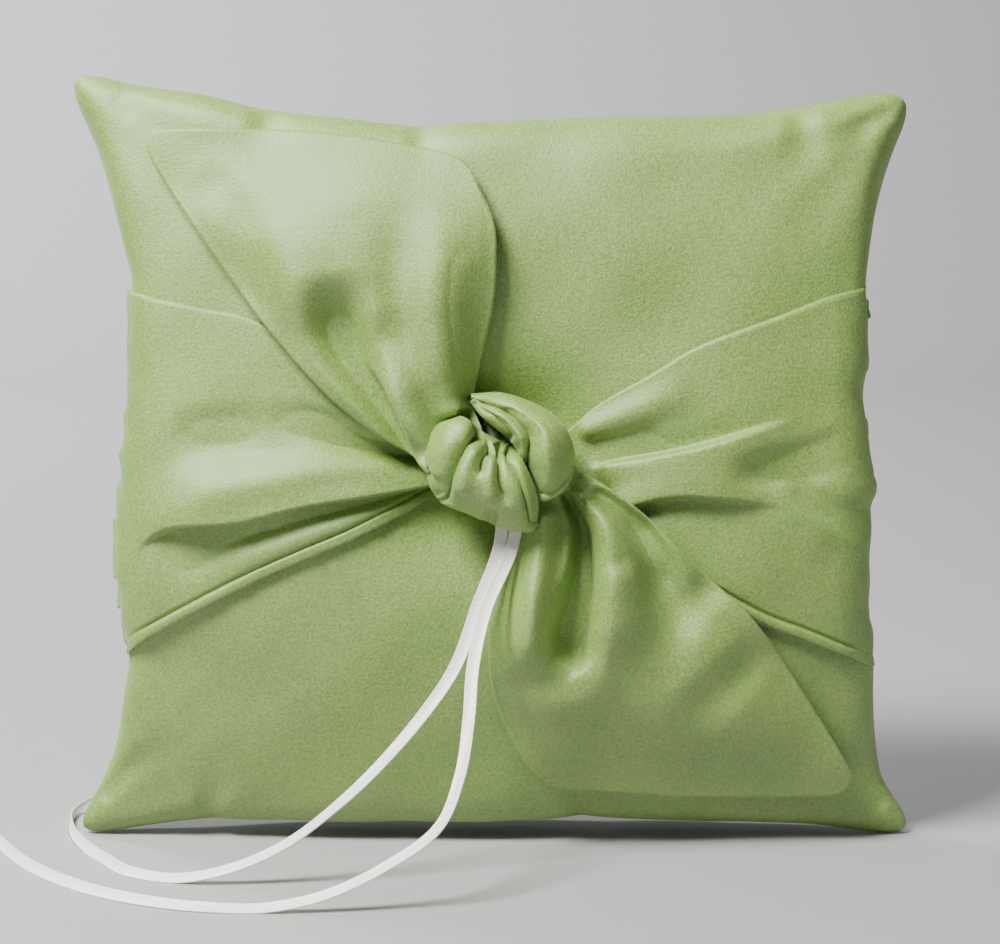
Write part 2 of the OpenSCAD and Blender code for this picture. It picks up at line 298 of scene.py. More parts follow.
@dataclass(frozen=True)
class Fold:
    """One fold along a line. A lip is high on one side of its line and drops sharply on the other."""

    kind: FoldKind
    line: tuple[Point2, ...]
    reach: tuple[float, float]
    height: tuple[float, float]
    side: int = 1
    fade: tuple[float, float] = (0.05, 0.3)
    drop: float = 1.1
    overhang: float = 0.35

    def shape(self, plan: np.ndarray) -> tuple[np.ndarray, np.ndarray]:
        """Works out how far the fold lifts cloth and pushes it sideways.

        Args:
            plan: Places [rows, cols, 2] of the cloth.

        Returns:
            Lift [rows, cols], and sideways shift [rows, cols, 2].
        """
        line = flowing(self.line, 40)
        flat = plan.reshape(-1, 1, 2)
        start, step = line[:-1], np.diff(line, axis=0)
        size = (step**2).sum(1)
        t = np.clip(((flat - start) * step).sum(2) / size, 0, 1)
        gap = flat - (start + t[..., None] * step)
        distance = np.sqrt((gap**2).sum(2))
        nearest = distance.argmin(1)
        pick = np.arange(len(nearest))
        share = (nearest + t[pick, nearest]) / len(step)
        way = step[nearest] / np.sqrt(size[nearest])[:, None]
        left = np.stack([-way[:, 1], way[:, 0]], axis=1)
        off = (gap[pick, nearest] * left).sum(1) * self.side
        away = distance[pick, nearest]
        reach = self.reach[0] + (self.reach[1] - self.reach[0]) * share
        height = self.height[0] + (self.height[1] - self.height[0]) * share
        height = height * ease(share / max(self.fade[0], 1e-6)) * ease((1 - share) / max(self.fade[1], 1e-6))
        beyond = np.maximum(away**2 - off**2, 0) ** 0.5
        height = height * np.exp(-((beyond / reach) ** 2))
        shift = np.zeros_like(left)
        if self.kind is FoldKind.CREASE:
            lift = -height * np.exp(-np.abs(off) / reach)
        elif self.kind is FoldKind.LIP:
            high = np.where(off > 0, np.exp(-((off / reach) ** 2)), 0)
            low = np.where(off <= 0, 1 - ease(-off / self.drop), 0)
            dip = np.where(off <= 0, np.exp(-(((off + self.drop * 1.6) / (reach * 0.55)) ** 2)), 0)
            lift = height * (high + low) - 0.35 * height * dip * ease(-off / self.drop)
            push = height * self.overhang * np.exp(-((off / (self.drop * 1.5)) ** 2))
            shift = -left * (push * self.side)[:, None]
        else:
            bump = 0.5 + 0.5 * np.cos(np.pi * np.clip(np.abs(off) / reach, 0, 1))
            lift = height * bump * (1 if self.kind is FoldKind.RIDGE else -1)
        shape = plan.shape[:2]
        return lift.reshape(shape), shift.reshape(*shape, 2)


@dataclass(frozen=True)
class Undulation:
    """Slow random waviness of stuffed or laid cloth, from a few seeded waves."""

    height: float
    length: float
    seed: int
    waves: int = 14

    def at(self, plan: np.ndarray) -> np.ndarray:
        """Finds the height of the waviness.

        Args:
            plan: Places [..., 2].

        Returns:
            Height at each place.
        """
        pick = np.random.default_rng(self.seed)
        total = np.zeros(plan.shape[:-1])
        for _ in range(self.waves):
            heading = pick.uniform(0, math.tau)
            wave = math.tau / (self.length * pick.uniform(0.7, 1.8))
            phase = pick.uniform(0, math.tau)
            along = plan[..., 0] * math.cos(heading) + plan[..., 1] * math.sin(heading)
            total += np.sin(along * wave + phase)
        return total * self.height / math.sqrt(self.waves / 2)


# ---------------------------------------------------------------- finishes


def linear(colour: str) -> tuple[float, float, float, float]:
    """Turns an sRGB hex colour into linear values with alpha."""
    parts = [int(colour[k:k + 2], 16) / 255 for k in (1, 3, 5)]
    return (*[c / 12.92 if c <= 0.04045 else ((c + 0.055) / 1.055) ** 2.4 for c in parts], 1.0)


def add_node(tree: bpy.types.NodeTree, kind: str, links: dict[str | int, bpy.types.NodeSocket] | None = None,
             inputs: dict[str | int, object] | None = None, **settings: object) -> bpy.types.Node:
    """Adds a node with its settings and links.

    Args:
        tree: Node tree it goes in.
        kind: Blender's node type.
        links: Sockets that feed its inputs.
        inputs: Values of its inputs.
        **settings: Its own properties.

    Returns:
        The node.
    """
    node = tree.nodes.new(kind)
    for key, value in settings.items():
        setattr(node, key, value)
    for key, value in (inputs or {}).items():
        node.inputs[key].default_value = value
    for key, socket in (links or {}).items():
        tree.links.new(socket, node.inputs[key])
    return node


def bare_finish(name: str) -> tuple[bpy.types.Material, bpy.types.NodeTree, bpy.types.Node,
                                    bpy.types.NodeSocket]:
    """Starts a finish.

    Args:
        name: The material's name.

    Returns:
        The material, its node tree, its shader, and places on the object in metres.
    """
    material = bpy.data.materials.new(name)
    material.use_nodes = True
    tree = material.node_tree
    return material, tree, tree.nodes["Principled BSDF"], add_node(tree,
                                                                   "ShaderNodeTexCoord").outputs["Object"]


@dataclass(frozen=True)
class DuchessSatin:
    """Matte polyester duchess satin: a heavy five-end satin weave, softly glossy along its floats.

    The eye gets a broad soft gloss, a fine pebbled grain, and a darker green where the cloth turns away.
    """

    name: str
    thread_spacing_mm: float = 0.30
    grain_mm: float = 0.65
    base: str = "#5E801E"
    light: str = "#7FA138"
    roughness: float = 0.62
    slub_mm: float = 18.0
    rough_spread: tuple[float, float] = (-0.05, 0.07)

    def make(self) -> bpy.types.Material:
        """Builds the node material.

        Returns:
            The material, ready to be put on a piece.
        """
        material, tree, shader, place = bare_finish(self.name)
        # Long smooth floats reflect more than a plain weave does, so the IOR is above bare polyester's 1.58.
        shader.inputs["IOR"].default_value = 2.05
        shader.inputs["Sheen Weight"].default_value = 0.14
        shader.inputs["Sheen Roughness"].default_value = 0.4
        shader.inputs["Sheen Tint"].default_value = linear("#F0F4E2")
        # Yarn grain: drawn at 0.65 mm, coarser than the 0.3 mm threads, which are too fine to show.
        grain = add_node(tree, "ShaderNodeTexNoise", {"Vector": place},
                         {"Scale": 1 / (self.grain_mm * MM), "Detail": 2.0, "Roughness": 0.5})
        slubs = add_node(tree, "ShaderNodeTexNoise", {"Vector": place},
                         {"Scale": 1 / (self.slub_mm * MM), "Detail": 2.0, "Roughness": 0.5})
        floats = add_node(tree, "ShaderNodeTexNoise", {"Vector": place},
                          {"Scale": 1 / (self.thread_spacing_mm * MM), "Detail": 2.0, "Roughness": 0.5})
        weave = add_node(tree, "ShaderNodeMix", {2: grain.outputs["Fac"], 3: floats.outputs["Fac"]},
                         {0: 0.35}, data_type="FLOAT")
        tone = add_node(tree, "ShaderNodeMix", {2: slubs.outputs["Fac"], 3: weave.outputs[0]},
                        {0: 0.86}, data_type="FLOAT")
        ramp = add_node(tree, "ShaderNodeValToRGB", {"Fac": tone.outputs[0]})
        ramp.color_ramp.elements[0].position = 0.4
        ramp.color_ramp.elements[0].color = linear(self.base)
        ramp.color_ramp.elements[1].position = 0.62
        ramp.color_ramp.elements[1].color = linear(self.light)
        tree.links.new(ramp.outputs["Color"], shader.inputs["Base Color"])
        rough = add_node(tree, "ShaderNodeMapRange", {"Value": grain.outputs["Fac"]},
                         {"From Min": 0.3, "From Max": 0.7, "To Min": self.roughness + self.rough_spread[0],
                          "To Max": self.roughness + self.rough_spread[1]})
        tree.links.new(rough.outputs[0], shader.inputs["Roughness"])
        bump = add_node(tree, "ShaderNodeBump", {"Height": weave.outputs[0]},
                        {"Strength": 0.5, "Distance": 0.0004})
        tree.links.new(bump.outputs["Normal"], shader.inputs["Normal"])
        return material


@dataclass(frozen=True)
class RibbonSatin:
    """White single-face polyester ribbon satin, woven with firm edges: bright, with fine cross ribs."""

    name: str = "white_ribbon_satin"
    rib_mm: float = 0.5
    colour: str = "#F4F3F0"

    def make(self) -> bpy.types.Material:
        """Builds the node material.

        Returns:
            The material, ready to be put on a piece.
        """
        material, tree, shader, place = bare_finish(self.name)
        shader.inputs["Roughness"].default_value = 0.38
        shader.inputs["Sheen Weight"].default_value = 0.15
        rib = add_node(tree, "ShaderNodeTexNoise", {"Vector": place},
                       {"Scale": 1 / (self.rib_mm * MM), "Detail": 2.0})
        ramp = add_node(tree, "ShaderNodeValToRGB", {"Fac": rib.outputs["Fac"]})
        ramp.color_ramp.elements[0].color = linear("#E4E2DE")
        ramp.color_ramp.elements[1].color = linear(self.colour)
        ramp.color_ramp.elements[0].position = 0.3
        ramp.color_ramp.elements[1].position = 0.6
        tree.links.new(ramp.outputs["Color"], shader.inputs["Base Color"])
        bump = add_node(tree, "ShaderNodeBump", {"Height": rib.outputs["Fac"]},
                        {"Strength": 0.25, "Distance": 0.0001})
        tree.links.new(bump.outputs["Normal"], shader.inputs["Normal"])
        return material


@dataclass(frozen=True)
class SpunPolyester:
    """Spun polyester: twisted sewing thread, or carded fibrefill; dull, with a fine fibrous surface."""

    name: str
    colour: str
    fibre_mm: float

    def make(self) -> bpy.types.Material:
        """Builds the node material.

        Returns:
            The material, ready to be put on a piece.
        """
        material, tree, shader, place = bare_finish(self.name)
        shader.inputs["Roughness"].default_value = 0.8
        fibres = add_node(tree, "ShaderNodeTexNoise", {"Vector": place},
                          {"Scale": 1 / (self.fibre_mm * MM), "Detail": 5.0, "Distortion": 1.5})
        ramp = add_node(tree, "ShaderNodeValToRGB", {"Fac": fibres.outputs["Fac"]})
        shade = tuple(c * 0.72 for c in linear(self.colour)[:3])
        ramp.color_ramp.elements[0].color = (*shade, 1)
        ramp.color_ramp.elements[1].color = linear(self.colour)
        ramp.color_ramp.elements[1].position = 0.65
        tree.links.new(ramp.outputs["Color"], shader.inputs["Base Color"])
        bump = add_node(tree, "ShaderNodeBump", {"Height": fibres.outputs["Fac"]},
                        {"Strength": 0.5, "Distance": self.fibre_mm * MM * 0.3})
        tree.links.new(bump.outputs["Normal"], shader.inputs["Normal"])
        return material


@dataclass(frozen=True)
class PaperSweep:
    """Matte studio paper: an even pale grey with the faintest mottle."""

    name: str = "studio_paper"
    colour: str = "#A4A4A6"

    def make(self) -> bpy.types.Material:
        """Builds the node material.

        Returns:
            The material, ready to be put on a piece.
        """
        material, tree, shader, place = bare_finish(self.name)
        shader.inputs["Roughness"].default_value = 0.75
        long_fibre = add_node(tree, "ShaderNodeMapping", {"Vector": place}, {"Scale": (0.12, 1.0, 1.0)})
        mottle = add_node(tree, "ShaderNodeTexNoise", {"Vector": long_fibre.outputs[0]},
                          {"Scale": 900.0, "Detail": 3.0})
        ramp = add_node(tree, "ShaderNodeValToRGB", {"Fac": mottle.outputs["Fac"]})
        ramp.color_ramp.elements[0].color = linear("#98989A")
        ramp.color_ramp.elements[1].color = linear(self.colour)
        tree.links.new(ramp.outputs["Color"], shader.inputs["Base Color"])
        return material


# ---------------------------------------------------------------- the studio


@dataclass
class Studio:
    """Camera, pale floor with a curved backdrop, soft light from the upper left, and a backdrop light."""

    eye: Point3 = (2.2, -692.5, 180.0)
    pitch: float = 7.332
    lens: float = 103.07
    sensor: float = 36.0

    def set_camera(self) -> None:
        """Puts the camera a little above the pillow, looking slightly down."""
        data = bpy.data.cameras.new("studio_camera")
        data.lens, data.sensor_width = self.lens, self.sensor
        data.clip_start = 0.01
        camera = bpy.data.objects.new("studio_camera", data)
        camera.location = Vector(self.eye) * MM
        camera.rotation_euler = (math.radians(90 - self.pitch), 0, 0)
        bpy.context.scene.collection.objects.link(camera)
        bpy.context.scene.camera = camera

    def lay_floor(self) -> None:
        """Builds the floor and the backdrop as one sheet with a curved sweep."""
        half, front, sweep, height, radius = 2.6, -2.0, 1.15, 2.6, 0.4
        bend = [(sweep + radius * math.sin(a), radius - radius * math.cos(a))
                for a in np.linspace(0, math.pi / 2, 17)]
        profile = [(front, 0.0), (-1.0, 0.0), (-0.4, 0.0), (0.2, 0.0), *bend, (sweep + radius, height)]
        points = np.array([[(x, y, z) for x in np.linspace(-half, half, 9)] for y, z in profile])
        floor = new_piece("studio_floor", points, grid_faces(len(profile), 9), PaperSweep().make())

    def hang_light(self, name: str, place: Point3, size: float, power: float, colour: str,
                   aim: Point3 = (0.0, 0.0, 0.09)) -> None:
        """Adds one square soft light.

        Args:
            name: The light's name.
            place: Where it hangs, in metres.
            size: Side of the light in metres.
            power: Strength in watts.
            colour: sRGB hex colour.
            aim: The point that it faces, in metres.
        """
        data = bpy.data.lights.new(name, "AREA")
        data.size, data.energy = size, power
        data.color = linear(colour)[:3]
        light = bpy.data.objects.new(name, data)
        light.location = place
        light.rotation_euler = (Vector(aim) - Vector(place)).to_track_quat("-Z", "Y").to_euler()
        bpy.context.scene.collection.objects.link(light)

    def light(self) -> None:
        """Hangs the lights and sets the soft surrounding light."""
        self.hang_light("key_softbox", (-0.44, -0.43, 0.86), 0.36, 31.0, "#FFFDF8")
        self.hang_light("backdrop_light", (-0.75, 0.75, 1.15), 0.5, 46.0, "#FFFFFF", aim=(-0.45, 1.5, 0.35))
        self.hang_light("right_softbox", (1.0, -0.45, 0.70), 0.6, 3.0, "#FFFFFF")
        world = bpy.data.worlds.new("studio_air")
        world.use_nodes = True
        world.node_tree.nodes["Background"].inputs["Color"].default_value = linear("#E6E8EC")
        world.node_tree.nodes["Background"].inputs["Strength"].default_value = 0.045
        bpy.context.scene.world = world


# ---------------------------------------------------------------- the ribbons


@dataclass
class RingRibbons:
    """One narrow ribbon, folded in half under the knot, whose two ends fall to the floor."""

    width: float = 3.0
    thickness: float = 0.3
    step: float = 0.45
    laid_tilt: Point3 = (0.0, 0.84, 0.55)
    sink: float = 1.0
    lowest: float = 0.05
    left_route: tuple[Point3, ...] = (
        (3, -20, 89), (2, -24, 76), (-3, -28, 63), (-8, -33, 50), (-15, -37, 40), (-25, -41, 29),
        (-35, -44, 20),
        (-47, -45, 11), (-60, -45, 5), (-73, -43, 2), (-85, -37, 2), (-92, -26, 2), (-99, -13, 2),
        (-104, 1, 2),
        (-106, 15, 2), (-103, 29, 2), (-95, 41, 2), (-83, 49, 2), (-69, 53, 2), (-55, 52, 2))
    right_route: tuple[Point3, ...] = (
        (7, -20, 89), (5, -25, 76), (-1, -32, 63), (-4, -40, 51), (-5, -49, 40), (-7, -57, 29),
        (-12, -64, 19),
        (-24, -67, 11), (-37, -68, 5), (-51, -68, 2), (-65, -67, 2), (-78, -62, 2), (-90, -54, 2),
        (-100, -44, 2),
        (-109, -32, 2), (-116, -19, 2), (-122, -6, 2), (-128, 8, 2), (-132, 22, 2), (-134, 36, 2))

    def strip(self, name: str, route: tuple[Point3, ...], material: bpy.types.Material) -> tuple:
        """Weaves one flat end of the ribbon along its route.

        Args:
            name: The piece's name.
            route: Points it passes through, in millimetres of the part's frame.
            material: Its finish.

        Returns:
            The piece, the points of its middle line in metres, and its length in metres.
        """
        rough = flowing(route, 200)
        length = np.linalg.norm(np.diff(rough, axis=0), axis=1).sum()
        line = flowing(route, int(length / self.step))
        along = np.gradient(line, axis=0)
        along /= np.linalg.norm(along, axis=1, keepdims=True)
        share = np.linspace(0, 1, len(line))[:, None]
        flat_on = np.cross(along, np.array([0.0, -1.0, 0.25]))
        flat_on /= np.linalg.norm(flat_on, axis=1, keepdims=True)
        laid = np.array(self.laid_tilt) * np.ones_like(line)
        turn = ease((share - 0.06) / 0.32)
        line[:, 2] -= self.sink * turn[:, 0]
        across = flat_on * (1 - turn) * np.sign((flat_on[0] * laid[0]).sum() + 1e-9) + laid * turn
        bead = 1 + 0.06 * np.sin(np.arange(len(line)) * math.pi)
        half, thick = self.width / 2, self.thickness / 2
        bulge, weave = (half * 0.93, thick * 1.6), (half * 0.82, thick)
        section = np.array([(-half, 0), (-bulge[0], bulge[1]), (-weave[0], weave[1]), weave, bulge, (half, 0),
                            (bulge[0], -bulge[1]), (weave[0], -weave[1]), (-weave[0], -weave[1]),
                            (-bulge[0], -bulge[1])])
        points, faces = swept(line, bead, section, across)
        points[:, 2] = np.maximum(points[:, 2], self.lowest)
        piece = new_piece(name, points * MM, faces, material)
        return piece, line[::4] * MM, length * MM

    def build(self) -> None:
        """Makes the two free ends and the fold that the knot hides."""
        white = RibbonSatin().make()
        for name, route, node in (("ring_ribbon_left", self.left_route, "ribbon_left"),
                                  ("ring_ribbon_right", self.right_route, "ribbon_right")):
            piece, path, length = self.strip(name, route, white)
            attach(piece, "pillow")
            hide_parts(node)
            LOG.info("%s: %.0f mm of ribbon", name, length / MM)
        loop = flowing([(3, -20, 88.6), (3.2, -21, 92), (5, -21.5, 93.6), (6.8, -21, 92), (7, -20, 88.6)], 36)
        section = np.array([(-1.5, -0.15), (1.5, -0.15), (1.5, 0.15), (-1.5, 0.15)])
        across = np.array([0.0, 1.0, 0.0]) * np.ones_like(loop)
        points, faces = swept(loop, np.ones(len(loop)) * 0.9, section, across)
        piece = new_piece("ring_ribbon_fold", points * MM, faces, white)
        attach(piece, "pillow")
        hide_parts("ribbon_fold")


# ---------------------------------------------------------------- the cushion


@dataclass
class CushionCover:
    """Front and back of the cover, sewn edge to edge and blown out by the filling."""

    width: float = 203.0
    height: float = 188.0
    half_thick: float = 30.0
    cells: int = 72
    fine: int = 3
    pressure: float = 6.0
    frames: int = 14
    knot: Point2 = (2.0, 98.5)
    knot_pulls: tuple[Point2, ...] = ((8.0, 44.0), (10.0, 22.0))
    ear_round: int = 16
    underside: float = 0.42
    underside_reach: float = 40.0
    seam_left: tuple[Point2, ...] = (
        (-106.2, 2.0), (-98, 14), (-93, 26), (-90.5, 40), (-89, 50), (-90, 62), (-91.5, 75), (-90, 92),
        (-87.5, 112),
        (-87.5, 130), (-87.2, 139), (-89, 147), (-91.5, 157), (-96.5, 174), (-105.2, 193.2))
    seam_right: tuple[Point2, ...] = (
        (107.9, 2.1), (98.5, 15), (96, 22), (94.5, 37), (94, 49), (92.6, 62), (92.2, 76), (92, 86),
        (93.4, 90),
        (92.2, 95), (91.6, 103), (90.4, 113), (91.2, 121), (91, 130), (91.2, 140), (94, 158), (98, 172),
        (104.8, 187.9))
    seam_top: tuple[Point2, ...] = (
        (-105.2, 193.2), (-88, 188.5), (-71, 186), (-55, 182.3), (-36, 180), (-17, 178), (-3, 179.2),
        (36, 180.3),
        (61, 181), (75, 183), (90, 185.6), (104.8, 187.9))
    seam_bottom: tuple[Point2, ...] = (
        (-106.2, 2.0), (-86, 5.5), (-70, 7.4), (-59, 7.2), (-27, 7.4), (12, 8.2), (23, 9), (48, 7), (77, 6),
        (90, 4.5), (107.9, 2.1))
    dents: tuple[Fold, ...] = (
        Fold(FoldKind.VALLEY, ((-54, 184), (-53, 176), (-50, 168)), (5, 9), (2.2, 1.0), fade=(0.01, 0.6)),
        Fold(FoldKind.VALLEY, ((-91, 187), (-84, 180)), (5, 6), (0.8, 0.6), fade=(0.3, 0.3)),
        Fold(FoldKind.VALLEY, ((99, 183), (90, 178), (84, 171)), (3, 6), (1.6, 1.2), fade=(0.2, 0.5)),
        Fold(FoldKind.VALLEY, ((74, 184), (75, 174), (76, 164)), (5, 9), (1.8, 1.0), fade=(0.02, 0.6)),
        Fold(FoldKind.VALLEY, ((-17, 180), (-16, 172), (-12, 160)), (4, 9), (1.6, 0.6), fade=(0.02, 0.6)),
        Fold(FoldKind.VALLEY, ((-70, 6), (-69, 14), (-64, 24)), (4, 8), (1.6, 0.8), fade=(0.02, 0.6)),
        Fold(FoldKind.VALLEY, ((22, 8), (24, 16), (30, 26)), (4, 8), (1.5, 0.6), fade=(0.02, 0.6)),
        Fold(FoldKind.VALLEY, ((98, 10), (90, 20), (80, 28)), (3, 7), (1.4, 0.6), fade=(0.1, 0.6)),
        Fold(FoldKind.VALLEY, ((-97, 12), (-88, 22), (-76, 30)), (3, 7), (1.4, 0.6), fade=(0.1, 0.6)),
    )
    front: np.ndarray = field(init=False)
    back: np.ndarray = field(init=False)
    seam: np.ndarray = field(init=False)

    def number(self, side: int, i: int, j: int) -> tuple[int, int, int]:
        """Key of a cover point; points on the seam belong to both sides."""
        return (0 if i in (0, self.cells) or j in (0, self.cells) else side, i, j)

    def blow_out(self) -> tuple[np.ndarray, np.ndarray]:
        """Sews two flat panels together and fills them, by cloth simulation with pressure.

        Returns:
            Front and back points [cells + 1, cells + 1, 3] in the cushion's frame.
        """
        numbers: dict[tuple[int, int, int], int] = {}
        points: list[Point3] = []
        half_w, half_h, start = self.width / 2, self.height / 2, 10.0
        for side in (1, -1):
            for i in range(self.cells + 1):
                for j in range(self.cells + 1):
                    key = self.number(side, i, j)
                    if key in numbers:
                        continue
                    u, v = 2 * j / self.cells - 1, 2 * i / self.cells - 1
                    rise = side * start * (1 - u * u) * (1 - v * v)
                    numbers[key] = len(points)
                    points.append((u * half_w * MM, -rise * MM, (half_h + v * half_h) * MM))
        faces = []
        for side in (1, -1):
            for i in range(self.cells):
                for j in range(self.cells):
                    quad = [numbers[self.number(side, a, b)] for a, b in ((i, j), (i, j + 1), (i + 1, j + 1),
                                                                          (i + 1, j))]
                    faces.append(quad if side > 0 else quad[::-1])
        mesh = bpy.data.meshes.new("blank")
        mesh.from_pydata(points, [], faces)
        blank = bpy.data.objects.new("blank", mesh)
        bpy.context.scene.collection.objects.link(blank)
        cloth = blank.modifiers.new("fill", "CLOTH")
        settings = cloth.settings
        settings.effector_weights.gravity = 0
        settings.use_pressure = True
        settings.uniform_pressure_force = self.pressure
        settings.quality = 6
        settings.mass = 0.3
        settings.air_damping = 2
        settings.tension_stiffness = settings.compression_stiffness = 30
        settings.shear_stiffness = 10
        settings.bending_stiffness = 0.2
        settings.tension_damping = settings.compression_damping = 10
        settings.shear_damping, settings.bending_damping = 5, 0.5
        cloth.collision_settings.use_collision = False
        cloth.collision_settings.use_self_collision = False
        cloth.point_cache.frame_start, cloth.point_cache.frame_end = 1, self.frames + 1
        for step in range(1, self.frames + 1):
            bpy.context.scene.frame_set(step)
        done = blank.evaluated_get(bpy.context.evaluated_depsgraph_get())
        filled = np.array([v.co[:] for v in done.data.vertices]) / MM
        bpy.data.objects.remove(blank)
        bpy.context.scene.frame_set(1)
        grids = []
        for side in (1, -1):
            span = range(self.cells + 1)
            pick = [[numbers[self.number(side, i, j)] for j in span] for i in span]
            raw = filled[np.array(pick)]
            grids.append(np.stack([raw[..., 0], raw[..., 2], -raw[..., 1]], axis=-1))
        return grids[0], grids[1]

    def seam_loop(self) -> np.ndarray:
        """Joins the four seams into one closed line and rounds its ears.

        Returns:
            Points of the line, anticlockwise from the lower left ear.
        """
        count = self.cells
        sides = [flowing(self.seam_bottom, count + 1), flowing(self.seam_right, count + 1),
                 flowing(self.seam_top[::-1], count + 1), flowing(self.seam_left[::-1], count + 1)]
        loop = np.vstack([s[:-1] for s in sides])
        near = np.zeros(len(loop))
        whole_share, reach = 1.6, 3.2
        for corner in range(4):
            gap = np.abs((np.arange(len(loop)) - corner * count + len(loop) / 2) % len(loop) - len(loop) / 2)
            near = np.maximum(near, ease(whole_share - gap / reach))
        for _ in range(self.ear_round):
            mean = 0.5 * loop + 0.25 * (np.roll(loop, 1, axis=0) + np.roll(loop, -1, axis=0))
            loop = loop * (1 - near[:, None]) + mean * near[:, None]
        return loop

    def fit(self, grid: np.ndarray, loop: np.ndarray) -> np.ndarray:
        """Moves a blown-out panel so that its edge lies on the seam and its crown has the right height.

        Args:
            grid: One panel as it came out of the simulation.
            loop: The seam's line.

        Returns:
            The fitted panel.
        """
        count = self.cells
        bottom = loop[:count + 1]
        right = loop[count:2 * count + 1]
        top = loop[2 * count:3 * count + 1][::-1]
        left = np.vstack([loop[3 * count:], loop[:1]])[::-1]
        edge = {"left": left - grid[:, 0, :2], "right": right - grid[:, -1, :2],
                "first": bottom - grid[0, :, :2], "last": top - grid[-1, :, :2]}
        out = grid.copy()
        out[..., :2] += between_edges(edge["left"], edge["right"], edge["first"], edge["last"])
        out[..., 2] *= self.half_thick / np.abs(grid[..., 2]).max()
        for border in (out[0], out[-1], out[:, 0], out[:, -1]):
            border[:, 2] = 0
        return out

    def refine(self, grid: np.ndarray) -> np.ndarray:
        """Draws a finer grid through the simulated one.

        Args:
            grid: Points [rows, cols, 3].

        Returns:
            Grid with several points to each cell of the given one.
        """
        count = self.cells * self.fine + 1
        place = np.linspace(0, self.cells, count)
        low = np.clip(place.astype(int), 0, self.cells - 1)
        t = (place - low)[:, None, None]
        for axis in (0, 1):
            work = np.swapaxes(grid, 0, axis)
            ends = np.concatenate([2 * work[:1] - work[1:2], work, 2 * work[-1:] - work[-2:-1]])
            grid = np.swapaxes(smooth_span([ends[low + k] for k in range(4)], t), 0, axis)
        return grid

    def shape(self) -> None:
        """Works out both panels, the seam and the height of the front."""
        loop = self.seam_loop()
        raw_front, raw_back = self.blow_out()
        front, back = (self.refine(self.fit(blurred(raw, 2), loop)) for raw in (raw_front, raw_back))
        plan = front[..., :2]
        reach2 = ((plan - np.array(self.knot)) ** 2).sum(2)
        rise = np.clip(front[..., 2] / self.half_thick, 0, 1)
        for pull, reach in self.knot_pulls:
            front[..., 2] -= pull * np.exp(-reach2 / reach**2) * rise
        front[..., 2] *= 1 - self.underside * np.exp(-((plan[..., 1] / self.underside_reach) ** 2))
        front[..., 2] += Undulation(0.35, 34, 7).at(plan) * ease(rise * 2)
        dents = np.zeros(front.shape[:2])
        for dent in self.dents:
            dents += dent.shape(plan)[0]
        front[..., 2] = np.maximum(front[..., 2] + dents * ease(rise * 3.5), 0)
        back[..., 2] -= Undulation(0.5, 38, 11).at(back[..., :2]) * ease(np.abs(back[..., 2]) / 10)
        self.front, self.back = front, back
        self.seam = np.vstack([front[0, :-1], front[:-1, -1], front[-1, :0:-1], front[:0:-1, 0]])

    def build(self, satin: bpy.types.Material) -> None:
        """Makes both panels.

        Args:
            satin: Their finish.
        """
        front = cloth_piece("cover_front", self.front, 0.6, satin)
        back = cloth_piece("cover_back", self.back[:, ::-1], 0.6, satin)
        for piece, node in ((front, "front_panel"), (back, "back_panel")):
            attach(piece, "pillow")
            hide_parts(node)
            LOG.info("%s: %d points", piece.name, len(piece.data.vertices))


# ---------------------------------------------------------------- what lies on the cushion


@dataclass
class Relief:
    """Height of all that is laid so far, on a lattice of places over the cushion."""

    left: int = -110
    right: int = 110
    low: int = -4
    high: int = 196
    top_of_view: float = 120.0
    heights: np.ndarray = field(init=False)

    def __post_init__(self) -> None:
        """Starts with nothing laid."""
        self.heights = np.zeros((self.high - self.low + 1, self.right - self.left + 1))

    def add(self, grid: np.ndarray) -> None:
        """Raises the lattice to a grid of cloth wherever that is higher.

        Args:
            grid: Points [rows, cols, 3] of the cloth.
        """
        rows, cols = grid.shape[:2]
        tree = BVHTree.FromPolygons(grid.reshape(-1, 3).tolist(), grid_faces(rows, cols))
        down = Vector((0, 0, -1))
        for i in range(self.heights.shape[0]):
            for j in range(self.heights.shape[1]):
                hit = tree.ray_cast(Vector((self.left + j, self.low + i, self.top_of_view)), down)[0]
                if hit is not None and hit.z > self.heights[i, j]:
                    self.heights[i, j] = hit.z

    def at(self, plan: np.ndarray, soften: int = 0) -> np.ndarray:
        """Finds the height of what is laid so far.

        Args:
            plan: Places [..., 2].
            soften: How far stiff cloth bridges over hollows, or 0 for none.

        Returns:
            Height at each place.
        """
        field_ = self.heights
        if soften:
            raised = field_
            for _ in range(2):
                wide = np.pad(raised, 1, mode="edge")
                raised = np.max([wide[a:a + field_.shape[0], b:b + field_.shape[1]]
                                 for a in range(3) for b in range(3)], axis=0)
            field_ = np.maximum(blurred(raised, soften), blurred(self.heights, 2))
        x = np.clip(plan[..., 0] - self.left, 0, field_.shape[1] - 1.001)
        s = np.clip(plan[..., 1] - self.low, 0, field_.shape[0] - 1.001)
        j, i = x.astype(int), s.astype(int)
        fx, fs = x - j, s - i
        return ((field_[i, j] * (1 - fx) + field_[i, j + 1] * fx) * (1 - fs)
                + (field_[i + 1, j] * (1 - fx) + field_[i + 1, j + 1] * fx) * fs)


